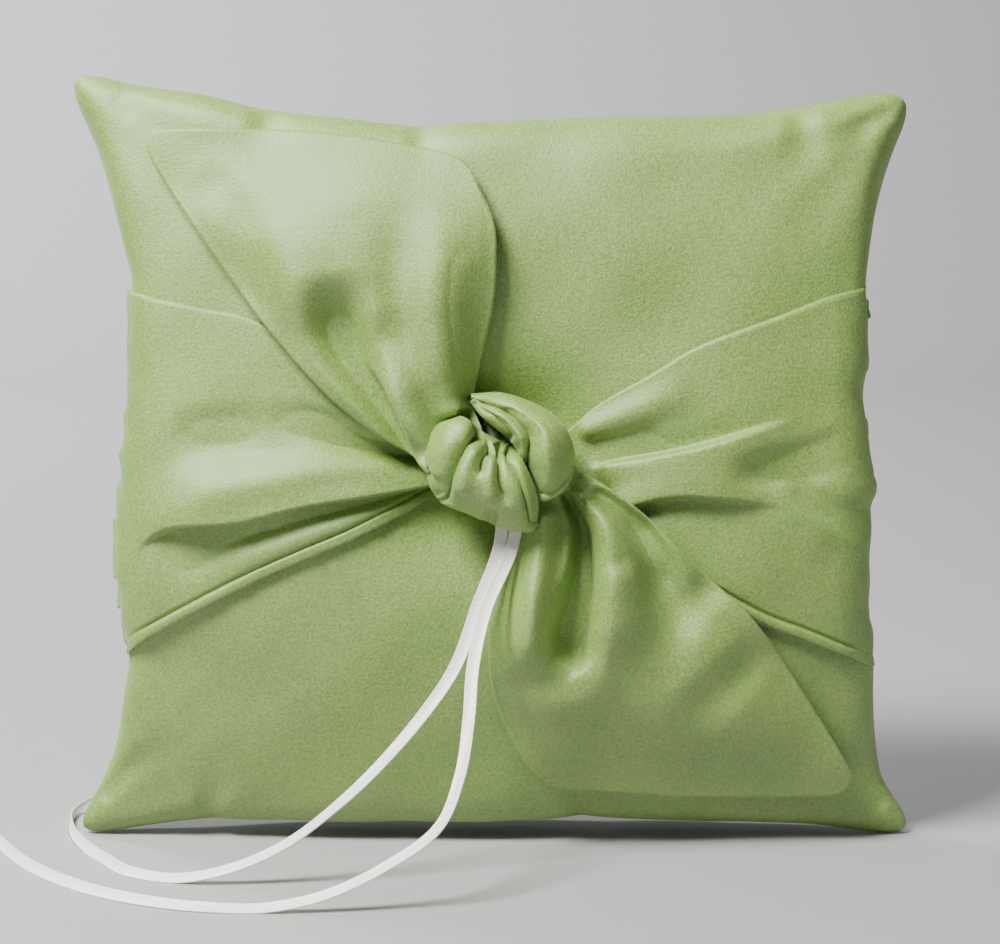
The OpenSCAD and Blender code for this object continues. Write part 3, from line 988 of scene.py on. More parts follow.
def edge_gap(plan: np.ndarray, outline: np.ndarray) -> np.ndarray:
    """Measures how far each place of a grid is from an outline.

    Args:
        plan: Places [rows, cols, 2].
        outline: Points [n, 2] along the outline.

    Returns:
        Distances [rows, cols] in millimetres.
    """
    flat = plan.reshape(-1, 2)
    gap = np.full(len(flat), 1e9)
    for start, stop in zip(outline, outline[1:]):
        step = stop - start
        t = np.clip(((flat - start) @ step) / max(step @ step, 1e-9), 0, 1)
        gap = np.minimum(gap, ((flat - start - t[:, None] * step) ** 2).sum(1))
    return np.sqrt(gap).reshape(plan.shape[:2])


def hem_roll(gap: np.ndarray, height: float) -> np.ndarray:
    """Height of a rolled hem by distance from the edge: a round roll, then a stitched groove behind it."""
    half, groove, groove_width = 1.2, 2.75, 0.4
    roll = np.sqrt(np.clip(1 - ((gap - half) / half) ** 2, 0, 1))
    return height * (roll - 1.1 * np.exp(-(((gap - groove) / groove_width) ** 2)))


def turned_edge(gap: np.ndarray, radius: float) -> np.ndarray:
    """How far the edge of a seamed and turned piece rounds off downwards, by distance from the edge."""
    inside = np.clip(1 - gap / radius, 0, 1)
    return -radius * (1 - np.sqrt(1 - inside**2))


def picked(plan: np.ndarray, rows: np.ndarray, cols: np.ndarray) -> np.ndarray:
    """Takes the rows and columns of a dense plan that lie nearest to the wanted shares."""
    i = np.rint(rows * (plan.shape[0] - 1)).astype(int)
    j = np.rint(cols * (plan.shape[1] - 1)).astype(int)
    return plan[i][:, j]


def dense_low(count: int) -> np.ndarray:
    """Shares from 0 to 1 that lie closer together near 0."""
    return np.linspace(0, 1, count) ** 1.5


def dense_ends(count: int) -> np.ndarray:
    """Shares from 0 to 1 that lie closer together near both ends."""
    share = np.linspace(0, 1, count)
    return share - 0.6 * np.sin(math.tau * share) / math.tau


def dense_high(count: int) -> np.ndarray:
    """Shares from 0 to 1 that lie closer together near 1."""
    share = np.linspace(0, 1, count)
    return share + 0.6 * np.sin(math.pi * share) / math.pi


@dataclass
class SashBand:
    """One side of the sash, from the side seam to the knot: an outer layer on its own lining."""

    name: str
    face_node: str
    lining_node: str
    side: int
    lower: tuple[Point2, ...]
    upper: tuple[Point2, ...]
    seam_span: Point2
    folds: tuple[Fold, ...]
    flat: tuple[float, float] = (0.091, 0.102)
    area: float = 0.0068
    clearance: float = 1.5
    beyond_seam: float = 0.5
    seam_gap: float = 0.35
    hem_height: float = 0.6
    upper_round: float = 0.7
    pucker: float = 0.4
    lining_under: float = 0.95
    rows: int = 150
    cols: int = 150

    def grid(self, cover: CushionCover, relief: Relief) -> np.ndarray:
        """Lays the band from its seam to the knot.

        Args:
            cover: The cushion it is sewn to.
            relief: Heights of the cushion's front.

        Returns:
            Points [rows, cols, 3]: rows from the seam to the knot, columns from the lower to the upper edge.
        """
        seam = cover.front[:, 0 if self.side < 0 else -1]
        s = np.linspace(*self.seam_span, self.cols * DENSE)
        seam_line = np.stack([np.interp(s, seam[:, 1], seam[:, 0]), s], axis=1)
        lower, upper = flowing(self.lower, self.rows), flowing(self.upper, self.rows)
        push = np.linspace(0, 1, self.rows) ** 1.5
        dense = np.linspace(0, 1, self.rows)
        lower = np.stack([np.interp(push, dense, lower[:, k]) for k in (0, 1)], axis=1)
        upper = np.stack([np.interp(push, dense, upper[:, k]) for k in (0, 1)], axis=1)
        lower[0], upper[0] = seam_line[0], seam_line[-1]
        knot_end = np.linspace(lower[-1], upper[-1], self.cols * DENSE)
        plan = between_edges(lower, upper, seam_line, knot_end)
        plan = picked(plan, dense, dense_low(self.cols))
        seam_line = plan[0]
        bare = np.dstack([plan, relief.at(plan)])
        bare[0, :, 2] = 0
        normal = blurred(self.outward(grid_normals(bare)), 3)
        normal /= np.linalg.norm(normal, axis=2, keepdims=True)
        settle = ease(push * 9)[:, None, None]
        out = bare + normal * (self.seam_gap + (self.clearance - self.seam_gap) * settle)
        out[1:, :, 2] = np.maximum(out[1:, :, 2], bare[1:, :, 2] + self.seam_gap)
        out[0] = np.dstack([seam_line[None, :, :1] + self.side * 0.3, seam_line[None, :, 1:],
                            np.full((1, self.cols, 1), 0.25)])[0]
        eased = ease(push * 5)[:, None, None]
        out = out + (folded_outward(out, self.folds, self.outward) - out) * eased
        roll = hem_roll(edge_gap(plan, flowing(self.lower, 60)), self.hem_height)
        roll += turned_edge(edge_gap(plan, flowing(self.upper, 60)), self.upper_round)
        out = out + normal * (roll * settle[..., 0])[..., None]
        pucker = np.sin(out[..., 1] * 0.31 + self.side) * np.sin(out[..., 1] * 0.17 + 1)
        out[..., 0] += self.side * self.pucker * pucker * ease(1 - push * 12)[:, None]
        farthest = self.side * np.interp(out[..., 1], seam[:, 1], seam[:, 0]) + self.beyond_seam
        out[..., 0] = self.side * np.minimum(self.side * out[..., 0], farthest)
        return out

    def outward(self, normals: np.ndarray) -> np.ndarray:
        """Turns normals so that they face out of the front."""
        return normals * np.where(normals[..., 2:] < 0, -1, 1)

    def build(self, cover: CushionCover, relief: Relief, satin: bpy.types.Material) -> np.ndarray:
        """Makes the outer layer and the lining.

        Args:
            cover: The cushion.
            relief: Heights of the cushion's front.
            satin: Finish.

        Returns:
            The outer layer's grid.
        """
        grid = self.grid(cover, relief)
        normal = self.outward(grid_normals(grid))
        lining = grid - normal * self.lining_under
        if self.side > 0:
            grid, lining = grid[::-1], lining[::-1]
        face = cloth_piece(f"{self.name}_face", grid[:, ::-1], 0.45, satin)
        under = cloth_piece(f"{self.name}_lining", lining[::2, ::-2], 0.4, satin)
        for piece, node in ((face, self.face_node), (under, self.lining_node)):
            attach(piece, "pillow")
            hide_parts(node)
        return grid


def folded_outward(grid: np.ndarray, folds: Sequence[Fold],
                   outward: Callable[[np.ndarray], np.ndarray]) -> np.ndarray:
    """Puts folds into a grid whose normals may face either way.

    Args:
        grid: Points [rows, cols, 3].
        folds: The folds to put in.
        outward: Turns the grid's normals to the side that the folds rise to.

    Returns:
        The folded grid.
    """
    normal = outward(blurred(grid_normals(grid), 4))
    normal /= np.linalg.norm(normal, axis=2, keepdims=True)
    lift = np.zeros(grid.shape[:2])
    shift = np.zeros((*grid.shape[:2], 2))
    fullness, room = 1.35, 0.9
    for fold in folds:
        rise, push = fold.shape(grid[..., :2])
        lift += rise * fullness
        shift += push
    out = grid + normal * np.maximum(lift, -room)[..., None]
    out[..., :2] += shift
    return out


@dataclass
class SashTail:
    """One free end of the sash: two layers of satin, seamed and turned, lying over the cushion."""

    name: str
    body: str
    face_node: str
    lining_node: str
    outer: tuple[Point2, ...]
    inner: tuple[Point2, ...]
    end: tuple[Point2, ...]
    folds: tuple[Fold, ...]
    hinge: Point3
    way: Point2
    neck_height: float = 27.0
    rise: float = 2.6
    edge_lift: tuple[float, float] = (2.4, 2.6)
    flat: tuple[float, float] = (0.091, 0.105)
    area: float = 0.0052
    fullness: float = 1.3
    pad: float = 5.2
    deepest: float = -1.0
    edge_round: float = 0.8
    rows: int = 200
    cols: int = 200
    seed: int = 3

    def grid(self, relief: Relief) -> np.ndarray:
        """Lays the tail from the knot to its end.

        Args:
            relief: Heights of all under it.

        Returns:
            Points [rows, cols, 3]: rows from the knot to the end, columns from the outer to the inner edge.
        """
        outer, inner = flowing(self.outer, self.rows * DENSE), flowing(self.inner, self.rows * DENSE)
        end = flowing(self.end, self.cols * DENSE)
        neck = np.linspace(outer[0], inner[0], self.cols * DENSE)
        outer[-1], inner[-1] = end[0], end[-1]
        along, across = dense_high(self.rows), dense_ends(self.cols)
        plan = picked(between_edges(outer, inner, neck, end), along, across)
        q, p = along[:, None], across[None, :]
        lay = relief.at(plan, soften=10) + self.rise
        lay += self.edge_lift[0] * (1 - p) ** 3 * q + self.edge_lift[1] * p**3 * q
        near = ease(1 - q * 4.2)
        lay = np.maximum(lay, lay * (1 - near) + self.neck_height * near)
        lay += Undulation(0.35, 30, self.seed).at(plan) * ease(q * 3)
        lift = np.zeros(plan.shape[:2])
        shift = np.zeros_like(plan)
        for fold in self.folds:
            up, push = fold.shape(plan)
            lift += up * self.fullness
            shift += push
        pad = self.pad * ease(q * 5) * ease((1 - q) * 3) * ease(p * 4) * ease((1 - p) * 4)
        lay += np.maximum(lift + pad, self.deepest)
        outline = np.vstack([flowing(self.outer, 60), flowing(self.end, 60), flowing(self.inner, 60)[::-1]])
        lay = blurred(lay[..., None], 1)[..., 0] + turned_edge(edge_gap(plan, outline),
                                                               self.edge_round) * ease(q * 6)
        return np.dstack([plan + blurred(shift, 1), lay])

    def build(self, relief: Relief, satin: bpy.types.Material) -> np.ndarray:
        """Makes the outer layer and the lining, which rise to the knot's height at the neck.

        Args:
            relief: Heights of all under it.
            satin: Finish.

        Returns:
            The outer layer's grid.
        """
        grid = self.grid(relief)
        lining = (grid - np.array([0.0, 0.0, 0.95]))[::2, ::2]
        facing = grid if grid_normals(grid)[..., 2].mean() > 0 else grid[:, ::-1]
        lining = lining if grid_normals(lining)[..., 2].mean() > 0 else lining[:, ::-1]
        for suffix, sheet, thick, node in (("face", facing, 0.45, self.face_node),
                                           ("lining", lining, 0.4, self.lining_node)):
            piece = cloth_piece(f"{self.name}_{suffix}", sheet, thick, satin, flat_on=True)
            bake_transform(piece)
            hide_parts(node)
        return grid


@dataclass
class SashKnot:
    """The overhand knot: two soft turns of the sash, wound round each other and pleated."""

    left_net: tuple[tuple[Point3, ...], ...] = (
        ((-3.5, 107.2, 29), (-4.5, 108.6, 35.5), (-5.8, 109.4, 35.5), (-7, 109.6, 32.5), (-7.6, 109, 28),
         (-6, 106, 15)),
        ((-2.3, 106.2, 30), (-4.6, 107.6, 38.5), (-8.6, 108.2, 38.5), (-11.6, 107.5, 35), (-13.3, 106.4, 29),
         (-11, 103, 15)),
        ((-0.8, 105.2, 31), (-3.6, 104.9, 39.8), (-8.6, 103, 41), (-13, 100.4, 37.5), (-15.6, 98.4, 30),
         (-12, 98, 15)),
        ((1, 104.4, 31), (-1.6, 102.6, 40.4), (-6, 97.6, 42.8), (-10.4, 92.8, 39.5), (-12.8, 90, 31),
         (-9, 92, 15)),
        ((2.5, 103.7, 31.5), (1.3, 101.3, 40.6), (-1, 95, 43.4), (-3.6, 89.2, 39.8), (-5, 86.2, 31),
         (-4, 89, 15)),
        ((4, 103.2, 32), (4.3, 100.6, 40.6), (3.8, 93.6, 43.2), (3, 86.8, 39.8), (2.4, 83, 31), (3, 87, 15)),
        ((5.2, 102.8, 32), (6.6, 99.6, 40.6), (8.4, 92.6, 42.6), (9.2, 85.6, 39), (8.8, 82, 31), (8, 86, 15)),
        ((6, 102.4, 31), (7.8, 99.6, 38.5), (10.8, 92.6, 38.8), (11.4, 86.4, 35.5), (10.6, 82.8, 29),
         (8, 87, 15)))
    right_net: tuple[tuple[Point3, ...], ...] = (
        ((-5, 112.8, 26), (-4.8, 113.6, 29.5), (-4.4, 114.2, 30.5), (-4.6, 114.6, 27), (-4, 112.6, 15)),
        ((0.6, 110.8, 28), (1, 112, 35.6), (2.4, 113.6, 37), (3, 115, 31), (2, 112, 15)),
        ((4.6, 107.4, 29), (6, 108.8, 38), (9, 110.6, 41), (11.8, 112, 32.5), (8, 109, 15)),
        ((7, 104.6, 29), (8.7, 105.4, 38.6), (13, 106.8, 43.2), (17.4, 107.4, 34), (13, 104, 15)),
        ((6.8, 101, 29), (8.5, 101, 38), (13.6, 101.2, 43.8), (19.7, 101, 34), (15, 100, 15)),
        ((8, 97.6, 29), (9.6, 97.2, 37.4), (14, 96.4, 42.2), (18.6, 95.8, 33.5), (14, 97, 15)),
        ((9, 94.6, 29), (10.6, 93.8, 36), (13.2, 92.8, 39.4), (15.4, 91.8, 33), (12, 95, 15)),
        ((9.4, 92.4, 29), (10.8, 91.4, 34), (11.6, 90.6, 35), (12, 90, 31), (11, 93, 15)))
    roll_net: tuple[tuple[Point3, ...], ...] = (
        ((-4.6, 112.4, 25), (-4.8, 112.8, 29), (-4.2, 113.4, 31.4), (-3.6, 113.6, 30), (-3.4, 113.2, 26)),
        ((-1.6, 109, 27), (-2.4, 109.6, 35), (0, 111, 39.2), (2, 111.8, 37), (2, 111, 29)),
        ((1.6, 106, 28), (1, 106.9, 36.8), (3.8, 108.3, 41.2), (6.3, 108.8, 38.8), (6, 107.6, 30)),
        ((4.2, 103.8, 29), (3.9, 104.7, 37.6), (6.3, 105.3, 42), (8.8, 105.1, 39), (8, 104.6, 30)),
        ((6, 101.4, 29), (5.9, 102, 37.2), (7.4, 102, 40.2), (8.7, 101.4, 38), (8.4, 101.6, 30)),
        ((7, 99.6, 29), (7, 99.8, 35.6), (7.7, 99.4, 37), (8.4, 99, 36), (8.2, 99.6, 29)))
    piping: tuple[Point3, ...] = ((9.8, 90.6, 33), (12.4, 90.9, 36.4), (15, 92.2, 37), (17.4, 94.4, 36),
                                  (19.2, 97.4, 33.4))
    left_folds: tuple[Fold, ...] = (
        Fold(FoldKind.CREASE, ((-2, 106), (-6, 103), (-10, 96), (-11, 89)), (1.0, 1.1), (2.6, 3.0),
             fade=(.02, .02)),
        Fold(FoldKind.CREASE, ((0.5, 103.5), (-1.6, 101), (-3, 95.4)), (1.0, 0.9), (2.8, 2.2),
             fade=(.02, .35)),
        Fold(FoldKind.CREASE, ((2.2, 103.6), (2, 99.5), (2.2, 94), (4.2, 88.6)), (0.9, 0.9), (2.6, 2.4),
             fade=(.02, .25)),
        Fold(FoldKind.CREASE, ((4, 103), (5.2, 99), (8, 93), (9.8, 84)), (0.9, 0.9), (2.5, 2.5),
             fade=(.02, .02)),
        Fold(FoldKind.CREASE, ((-16, 97), (-13.6, 94.6), (-12.6, 90)), (1.2, 1.2), (1.4, 1.4), fade=(.1, .1)),
        Fold(FoldKind.VALLEY, ((-1, 83), (0, 87), (0.4, 90)), (2.2, 2.6), (2.4, 1.0), fade=(.01, .5)),
        Fold(FoldKind.RIDGE, ((-8, 106), (-12, 100), (-12.5, 94)), (3.4, 3.4), (0.9, 0.9), fade=(.2, .2)),
        Fold(FoldKind.RIDGE, ((-2.5, 104), (-6, 98), (-7, 91)), (3.2, 3.4), (1.0, 1.0), fade=(.2, .2)),
        Fold(FoldKind.RIDGE, ((1, 102), (0, 96), (0.8, 90)), (2.2, 2.6), (0.9, 0.9), fade=(.2, .2)))
    right_folds: tuple[Fold, ...] = (
        Fold(FoldKind.CREASE, ((0, 113.6), (8, 111.4), (14, 107.6), (17.6, 102)), (1.1, 1.1), (0.7, 0.7),
             fade=(.2, .4)),
        Fold(FoldKind.VALLEY, ((2, 112), (9, 109), (11.6, 104)), (1.6, 2.4), (0.8, 0.5), fade=(.2, .4)))
    roll_folds: tuple[Fold, ...] = (
        Fold(FoldKind.CREASE, ((-4, 113.2), (-0.6, 110), (2.8, 106.6), (4.6, 103.6)), (1.0, 1.0), (1.5, 1.6),
             fade=(.05, .1)),
        Fold(FoldKind.CREASE, ((-3.4, 113.4), (2.2, 109.4), (5.6, 105), (7, 101)), (0.9, 0.9), (0.8, 0.8),
             fade=(.1, .1)))

    def turn(self, net: Sequence[Sequence[Point3]], folds: Sequence[Fold],
             fine: tuple[int, int]) -> np.ndarray:
        """Draws one turn through its net and pleats it.

        Args:
            net: Coarse points of the turn.
            folds: Its pleats.
            fine: Points across and along.

        Returns:
            Grid of the turn's outside.
        """
        grid = through_net(net, *fine)
        normal = grid_normals(grid)
        if normal[..., 2].mean() < 0:
            grid = grid[:, ::-1]
        crown = ease((grid[..., 2] - 29) / 6)
        normal = grid_normals(grid)
        lift = np.zeros(grid.shape[:2])
        for fold in folds:
            lift += fold.shape(grid[..., :2])[0]
        return grid + normal * (lift * crown)[..., None]

    def build(self, satin: bpy.types.Material) -> None:
        """Makes the turns, the rolled edge and the wound inside.

        Args:
            satin: Finish.
        """
        turns = (("knot_turn_left", self.left_net, self.left_folds, (110, 190), "knot_left_turn"),
                 ("knot_turn_right", self.right_net, self.right_folds, (80, 170), "knot_right_turn"),
                 ("knot_turn_inner", self.roll_net, self.roll_folds, (60, 110), None))
        for name, net, folds, fine, node in turns:
            piece = cloth_piece(name, self.turn(net, folds, fine), 0.5, satin)
            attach(piece, "pillow")
            if node:
                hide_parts(node)
        line = flowing(self.piping, 60)
        ring = np.linspace(0, math.tau, 12, endpoint=False)
        section = np.stack([np.cos(ring), np.sin(ring)], axis=1)
        taper = 1.15 * np.sqrt(np.clip(np.sin(np.linspace(0.12, math.pi - 0.12, 60)), 0, 1))
        points, faces = swept(line, taper, section, np.array([0.0, 0.0, 1.0]) * np.ones_like(line))
        piping = new_piece("knot_rolled_edge", STANCE.place(points), faces, satin)
        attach(piping, "pillow")
        self.wound_inside(satin)

    def wound_inside(self, satin: bpy.types.Material) -> None:
        """Makes the twisted cloth in the middle of the knot, seen only down its opening.

        Args:
            satin: Material of the sash.
        """
        centre, rings, spokes = np.array([2.0, 98.5]), 16, 48
        wide, base, dome = 13.5, 14, 9
        a = np.linspace(0, math.tau, spokes, endpoint=False)
        points = []
        for k in range(rings):
            t = k / (rings - 1)
            radius = wide * math.sin(t * math.pi / 2) * (1 + 0.05 * np.sin(5 * a + 4 * t))
            n = base + dome * math.cos(t * math.pi / 2) + 0.5 * np.sin(7 * a + 6 * t)
            points.append(np.stack([centre[0] + radius * np.cos(a), centre[1] + radius * np.sin(a), n],
                                   axis=1))
        for k in range(1, rings):
            t = k / (rings - 1)
            radius = wide * math.cos(t * math.pi / 2)
            points.append(np.stack([centre[0] + radius * np.cos(a), centre[1] + radius * np.sin(a),
                                    np.full(spokes, base - 0.6 * math.sin(t * math.pi / 2))], axis=1))
        count = len(points)
        faces = [(k * spokes + j, (k + 1) * spokes + j, (k + 1) * spokes + (j + 1) % spokes,
                  k * spokes + (j + 1) % spokes) for k in range(count - 1) for j in range(spokes)]
        piece = new_piece("knot_wound_inside", STANCE.place(np.vstack(points)), faces, satin)
        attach(piece, "pillow")


@dataclass
class Stitching:
    """Slip stitches that close the bottom seam, in matching thread."""

    count: int = 11
    pitch: float = 6.0
    thread: float = 0.5

    def build(self, cover: CushionCover) -> None:
        """Sews the closing stitches along the bottom seam, and finishes the knot's tacking stitches.

        Args:
            cover: The cushion cover, already built.
        """
        green = SpunPolyester("green_sewing_thread", "#7C954B", 0.25).make()
        seam = cover.front[0]
        ring = np.linspace(0, math.tau, 8, endpoint=False)
        section = np.stack([np.cos(ring), np.sin(ring)], axis=1) * self.thread / 2
        points, faces = [], []
        for k in range(self.count):
            x = (k - (self.count - 1) / 2) * self.pitch
            s = float(np.interp(x, seam[:, 0], seam[:, 1]))
            loop = flowing([(x - 1.6, s + 1.2, -1.6), (x - 0.9, s - 0.1, -0.8), (x, s - 0.5, 0),
                            (x + 0.9, s - 0.1, 0.8), (x + 1.6, s + 1.2, 1.6)], 14)
            more, quads = swept(loop, np.ones(len(loop)), section,
                                np.array([0.0, 1.0, 0.3]) * np.ones_like(loop))
            faces += [tuple(v + sum(map(len, points)) for v in quad) for quad in quads]
            points.append(more)
        piece = new_piece("closing_slip_stitches", STANCE.place(np.vstack(points)), faces, green)
        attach(piece, "pillow")
        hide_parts("closing_stitches")
        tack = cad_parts["knot_tack_stitches"]
        tack.data.materials.clear()
        tack.data.materials.append(green)


@dataclass
class Filling:
    """Loose polyester fibrefill, a soft lump the shape of the cover's inside."""

    shrink: float = 0.955
    room: float = 1.6
    step: int = 4

    def build(self, cover: CushionCover) -> None:
        """Makes the lump from the cover's two panels, drawn in and made woolly.

        Args:
            cover: The cushion cover, already built.
        """
        middle = np.array([0.0, 94.0, 0.0])
        grids = []
        for panel in (cover.front, cover.back[:, ::-1]):
            grid = (panel[::self.step, ::self.step] - middle) * np.array([self.shrink, self.shrink,
                                                                          0.93]) + middle
            grid[..., 2] += Undulation(0.35, 12, 21).at(grid[..., :2]) * ease(np.abs(grid[..., 2]) / 8)
            grid[..., 2] -= np.sign(grid[..., 2]) * self.room * ease(np.abs(grid[..., 2]) / 6)
            grids.append(grid)
        rows, cols = grids[0].shape[:2]
        faces = grid_faces(rows, cols) + grid_faces(rows, cols, rows * cols)
        points = STANCE.place(np.vstack([g.reshape(-1, 3) for g in grids]))
        piece = new_piece("fibrefill", points, faces, SpunPolyester("white_fibrefill", "#F2F1EC", 1.2).make())
        weld = piece.modifiers.new("joined", "WELD")
        weld.merge_threshold = 0.05 * MM
        bpy.context.view_layer.objects.active = piece
        bpy.ops.object.modifier_apply(modifier=weld.name)
        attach(piece, "pillow")
        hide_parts("filling")


LEFT_BAND = SashBand(
    "sash_left", "left_sash_face", "left_sash_lining", -1,
    lower=((-89.5, 49), (-81, 56), (-60, 67.5), (-45, 74.5), (-31, 80.5), (-14, 89), (-7, 93)),
    upper=((-87.6, 138.5), (-70, 135), (-54, 131), (-38, 118), (-24, 108), (-14, 102.5), (-7, 101)),
    seam_span=(49, 138.5),
    folds=(
        Fold(FoldKind.LIP, ((-10, 94), (-30, 91), (-45, 89), (-60, 85.5), (-77, 83), (-88, 74)), (4, 12),
             (2.6, 4.0),
             side=-1, fade=(0.02, 0.3)),
        Fold(FoldKind.LIP, ((-12, 101.5), (-29, 104.5), (-43, 109)), (3, 5), (1.6, 1.4), side=-1,
             fade=(0.02, 0.6)),
        Fold(FoldKind.VALLEY, ((-12, 100), (-29, 102.5), (-43, 107), (-60, 107)), (3, 8), (1.6, 2.0),
             fade=(0.05, 0.5)),
        Fold(FoldKind.VALLEY, ((-52, 106), (-66, 105), (-79, 102)), (8, 9), (1.0, 1.0), fade=(0.3, 0.4)),
        Fold(FoldKind.RIDGE, ((-16, 97), (-40, 97), (-64, 93), (-80, 92)), (4, 9), (1.0, 2.0),
             fade=(0.2, 0.3)),
        Fold(FoldKind.VALLEY, ((-58, 78), (-70, 76), (-82, 68)), (7, 9), (0.8, 1.0), fade=(0.4, 0.5)),
        Fold(FoldKind.RIDGE, ((-14, 91.5), (-40, 82), (-70, 70)), (2.5, 6), (0.8, 1.2), fade=(0.1, 0.3)),
    ))
RIGHT_BAND = SashBand(
    "sash_right", "right_sash_face", "right_sash_lining", 1,
    lower=((93.8, 46.5), (84, 51), (75, 55), (63, 60), (46, 70), (30, 82), (16, 92), (10, 95)),
    upper=((91.2, 139.5), (80, 137), (69, 133), (50, 126), (38, 119), (26, 112), (17, 104), (10, 101)),
    seam_span=(46.5, 139.5),
    folds=(
        Fold(FoldKind.LIP, ((24, 95.5), (32, 97.5), (46, 100), (60, 104), (74, 109)), (5, 9), (2.4, 1.6),
             side=-1,
             fade=(0.1, 0.4)),
        Fold(FoldKind.VALLEY, ((22, 100), (32, 101.5), (44, 105)), (4, 7), (2.2, 1.6), fade=(0.2, 0.6)),
        Fold(FoldKind.RIDGE, ((20, 104.5), (34, 110), (52, 117)), (3.5, 8), (1.2, 1.0), fade=(0.1, 0.5)),
        Fold(FoldKind.LIP, ((30, 86), (37, 89.5), (46, 91), (57, 90), (72, 87)), (5, 8), (2.4, 1.4), side=1,
             fade=(0.05, 0.5)),
        Fold(FoldKind.VALLEY, ((55, 97), (64, 96), (80, 99), (90, 104)), (6, 8), (1.6, 1.2), fade=(0.3, 0.2)),
        Fold(FoldKind.VALLEY, ((70, 94), (79, 87), (91, 81)), (5, 5), (1.4, 1.2), fade=(0.3, 0.1)),
        Fold(FoldKind.RIDGE, ((66, 92), (76, 84), (84, 74)), (7, 9), (1.0, 0.8), fade=(0.4, 0.4)),
    ))
UPPER_TAIL = SashTail(
    "tail_upper", "upper_tail", "upper_tail_face", "upper_tail_lining",
    outer=((-8, 96), (-16, 98.5), (-27, 105), (-38, 113.5), (-54, 131.5), (-69, 152), (-79.5, 167.5),
           (-81.8, 172)),
    inner=((-2, 106), (-4, 112), (-2.6, 121), (0.6, 135), (1.4, 146), (0.8, 155), (-2.6, 163)),
    end=((-81.8, 172), (-81, 175.4), (-77, 177), (-46, 176.6), (-22, 173.6), (-9, 170.6), (-4.8, 167.4),
         (-2.6, 163)),
    folds=(
        Fold(FoldKind.LIP, ((-12, 96), (-16, 100.5), (-21, 112), (-25, 118.5), (-31, 123.5)), (4, 9),
             (5.2, 3.2),
             side=-1, fade=(0.02, 0.45), overhang=0.4),
        Fold(FoldKind.VALLEY, ((-15, 99), (-23, 109), (-31, 120), (-36, 131), (-38, 144)), (3, 12),
             (3.6, 7.0),
             fade=(0.05, 0.3)),
        Fold(FoldKind.RIDGE, ((-8, 108), (-11, 122), (-13, 136), (-13, 148), (-6, 158)), (6, 15), (2.8, 3.4),
             fade=(0.05, 0.5)),
        Fold(FoldKind.CREASE, ((-6, 110), (-8, 122), (-9.6, 134), (-8.4, 146), (-1, 152)), (4.5, 5),
             (1.6, 1.0),
             fade=(0.1, 0.4)),
        Fold(FoldKind.RIDGE, ((-18, 100), (-32, 112), (-48, 128)), (3.5, 7), (1.6, 1.0), fade=(0.1, 0.6)),
        Fold(FoldKind.VALLEY, ((-70, 168), (-60, 158), (-52, 150)), (7, 9), (0.9, 0.9), fade=(0.3, 0.4)),
        Fold(FoldKind.RIDGE, ((-24, 126), (-28, 140), (-34, 156)), (8, 14), (1.2, 2.0), fade=(0.3, 0.5)),
    ),
    hinge=(-12.142, 112.64, 26.4), way=(-0.7071, 0.7071), seed=3)
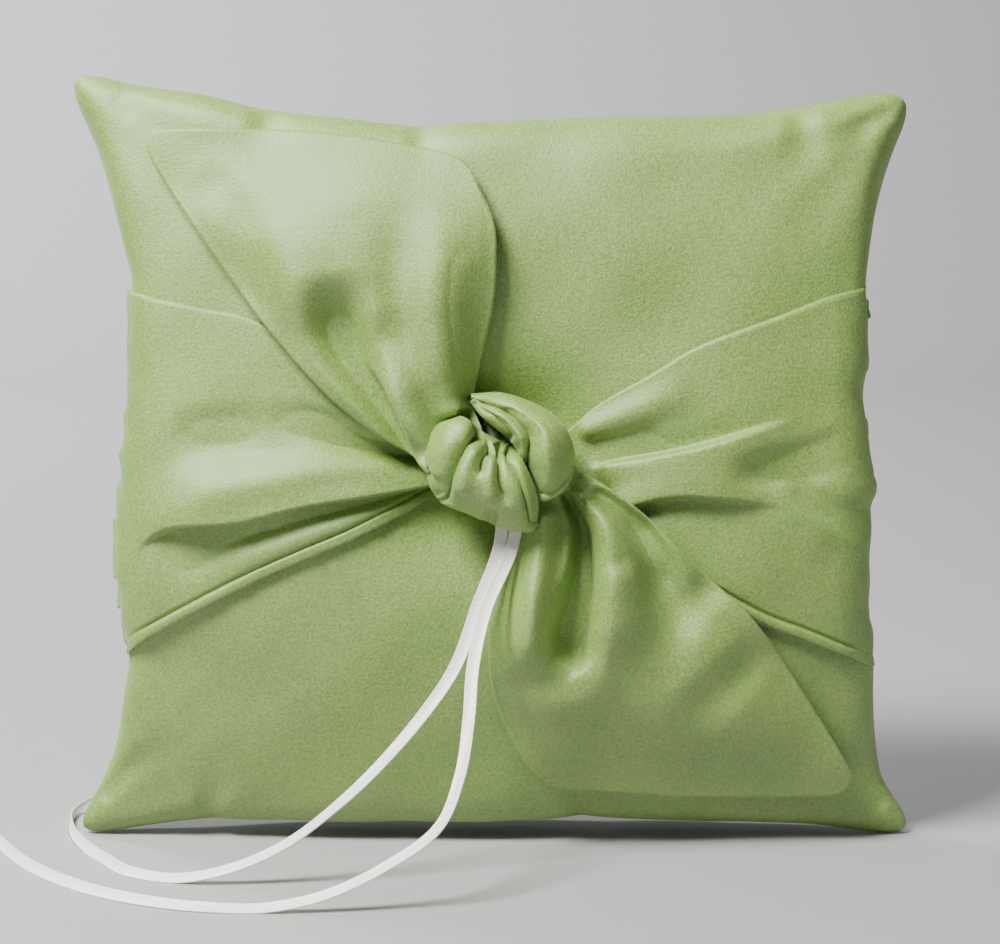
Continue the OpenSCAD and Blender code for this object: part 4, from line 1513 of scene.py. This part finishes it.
LOWER_TAIL = SashTail(
    "tail_lower", "lower_tail", "lower_tail_face", "lower_tail_lining",
    outer=((9, 97), (19, 96.4), (27, 93), (38, 84.6), (50, 72.5), (63, 60), (75, 42.5), (85, 26.5),
           (88.4, 20.4)),
    inner=((7, 89), (3.6, 84), (2, 79.6), (0, 70), (-0.8, 61), (-0.6, 52), (0.2, 44), (2.6, 36.4), (6.4, 28),
           (10, 22.6)),
    end=((88.4, 20.4), (86.6, 16.8), (80, 15), (51, 15.4), (36, 16.6), (18, 17.8), (13.4, 19.2), (10, 22.6)),
    folds=(
        Fold(FoldKind.VALLEY, ((19, 92), (23, 84), (23.4, 75), (22, 66), (20, 57), (17, 49)), (3.4, 10),
             (6.5, 8.0),
             fade=(0.02, 0.2)),
        Fold(FoldKind.LIP, ((20, 93), (25, 84), (26.4, 75), (26.4, 66), (25, 56), (22, 49), (17, 45)),
             (4.5, 10),
             (4.2, 4.4), side=1, fade=(0.02, 0.35), drop=1.5, overhang=0.4),
        Fold(FoldKind.RIDGE, ((12, 88), (11, 76), (9.4, 64), (8, 52), (9, 44)), (5, 9), (4.4, 5.0),
             fade=(0.05, 0.3)),
        Fold(FoldKind.RIDGE, ((6, 48), (10, 42.6), (17, 41), (24, 45), (28, 53)), (8, 9), (0.9, 1.1),
             fade=(0.4, 0.4)),
        Fold(FoldKind.VALLEY, ((23, 92.5), (32, 86), (38, 77), (42, 64), (42, 56)), (2.6, 9), (2.4, 4.4),
             fade=(0.04, 0.4)),
        Fold(FoldKind.RIDGE, ((24, 94), (37, 84), (50, 70)), (2.6, 7), (1.2, 0.8), fade=(0.05, 0.5)),
        Fold(FoldKind.VALLEY, ((66, 56), (60, 49), (52, 41), (44, 31)), (7, 10), (1.2, 1.6), fade=(0.3, 0.4)),
        Fold(FoldKind.VALLEY, ((56, 72), (49, 66), (43, 57), (37, 50)), (6, 9), (1.0, 1.2),
             fade=(0.2, 0.5)),
        Fold(FoldKind.RIDGE, ((30, 76), (33, 64), (34, 52)), (5, 8), (1.2, 1.2), fade=(0.2, 0.4)),
    ),
    hinge=(16.142, 84.36, 26.4), way=(0.7071, -0.7071), seed=5)


def main() -> None:
    """Builds the pillow piece by piece."""
    logging.basicConfig(level=logging.INFO, format="%(message)s")
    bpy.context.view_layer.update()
    studio = Studio()
    studio.set_camera()
    RingRibbons().build()
    satin = DuchessSatin("lime_duchess_satin").make()
    cover = CushionCover()
    cover.shape()
    cover.build(satin)
    Filling().build(cover)
    Stitching().build(cover)
    relief = Relief()
    relief.add(cover.front)
    bands = [band.build(cover, relief, satin) for band in (LEFT_BAND, RIGHT_BAND)]
    for band in bands:
        relief.add(band)
    for tail in (UPPER_TAIL, LOWER_TAIL):
        tail.build(relief, satin)
        LOG.info("%s laid", tail.name)
    SashKnot().build(satin)
    studio.lay_floor()
    studio.light()


if __name__ == "__main__":
    main()
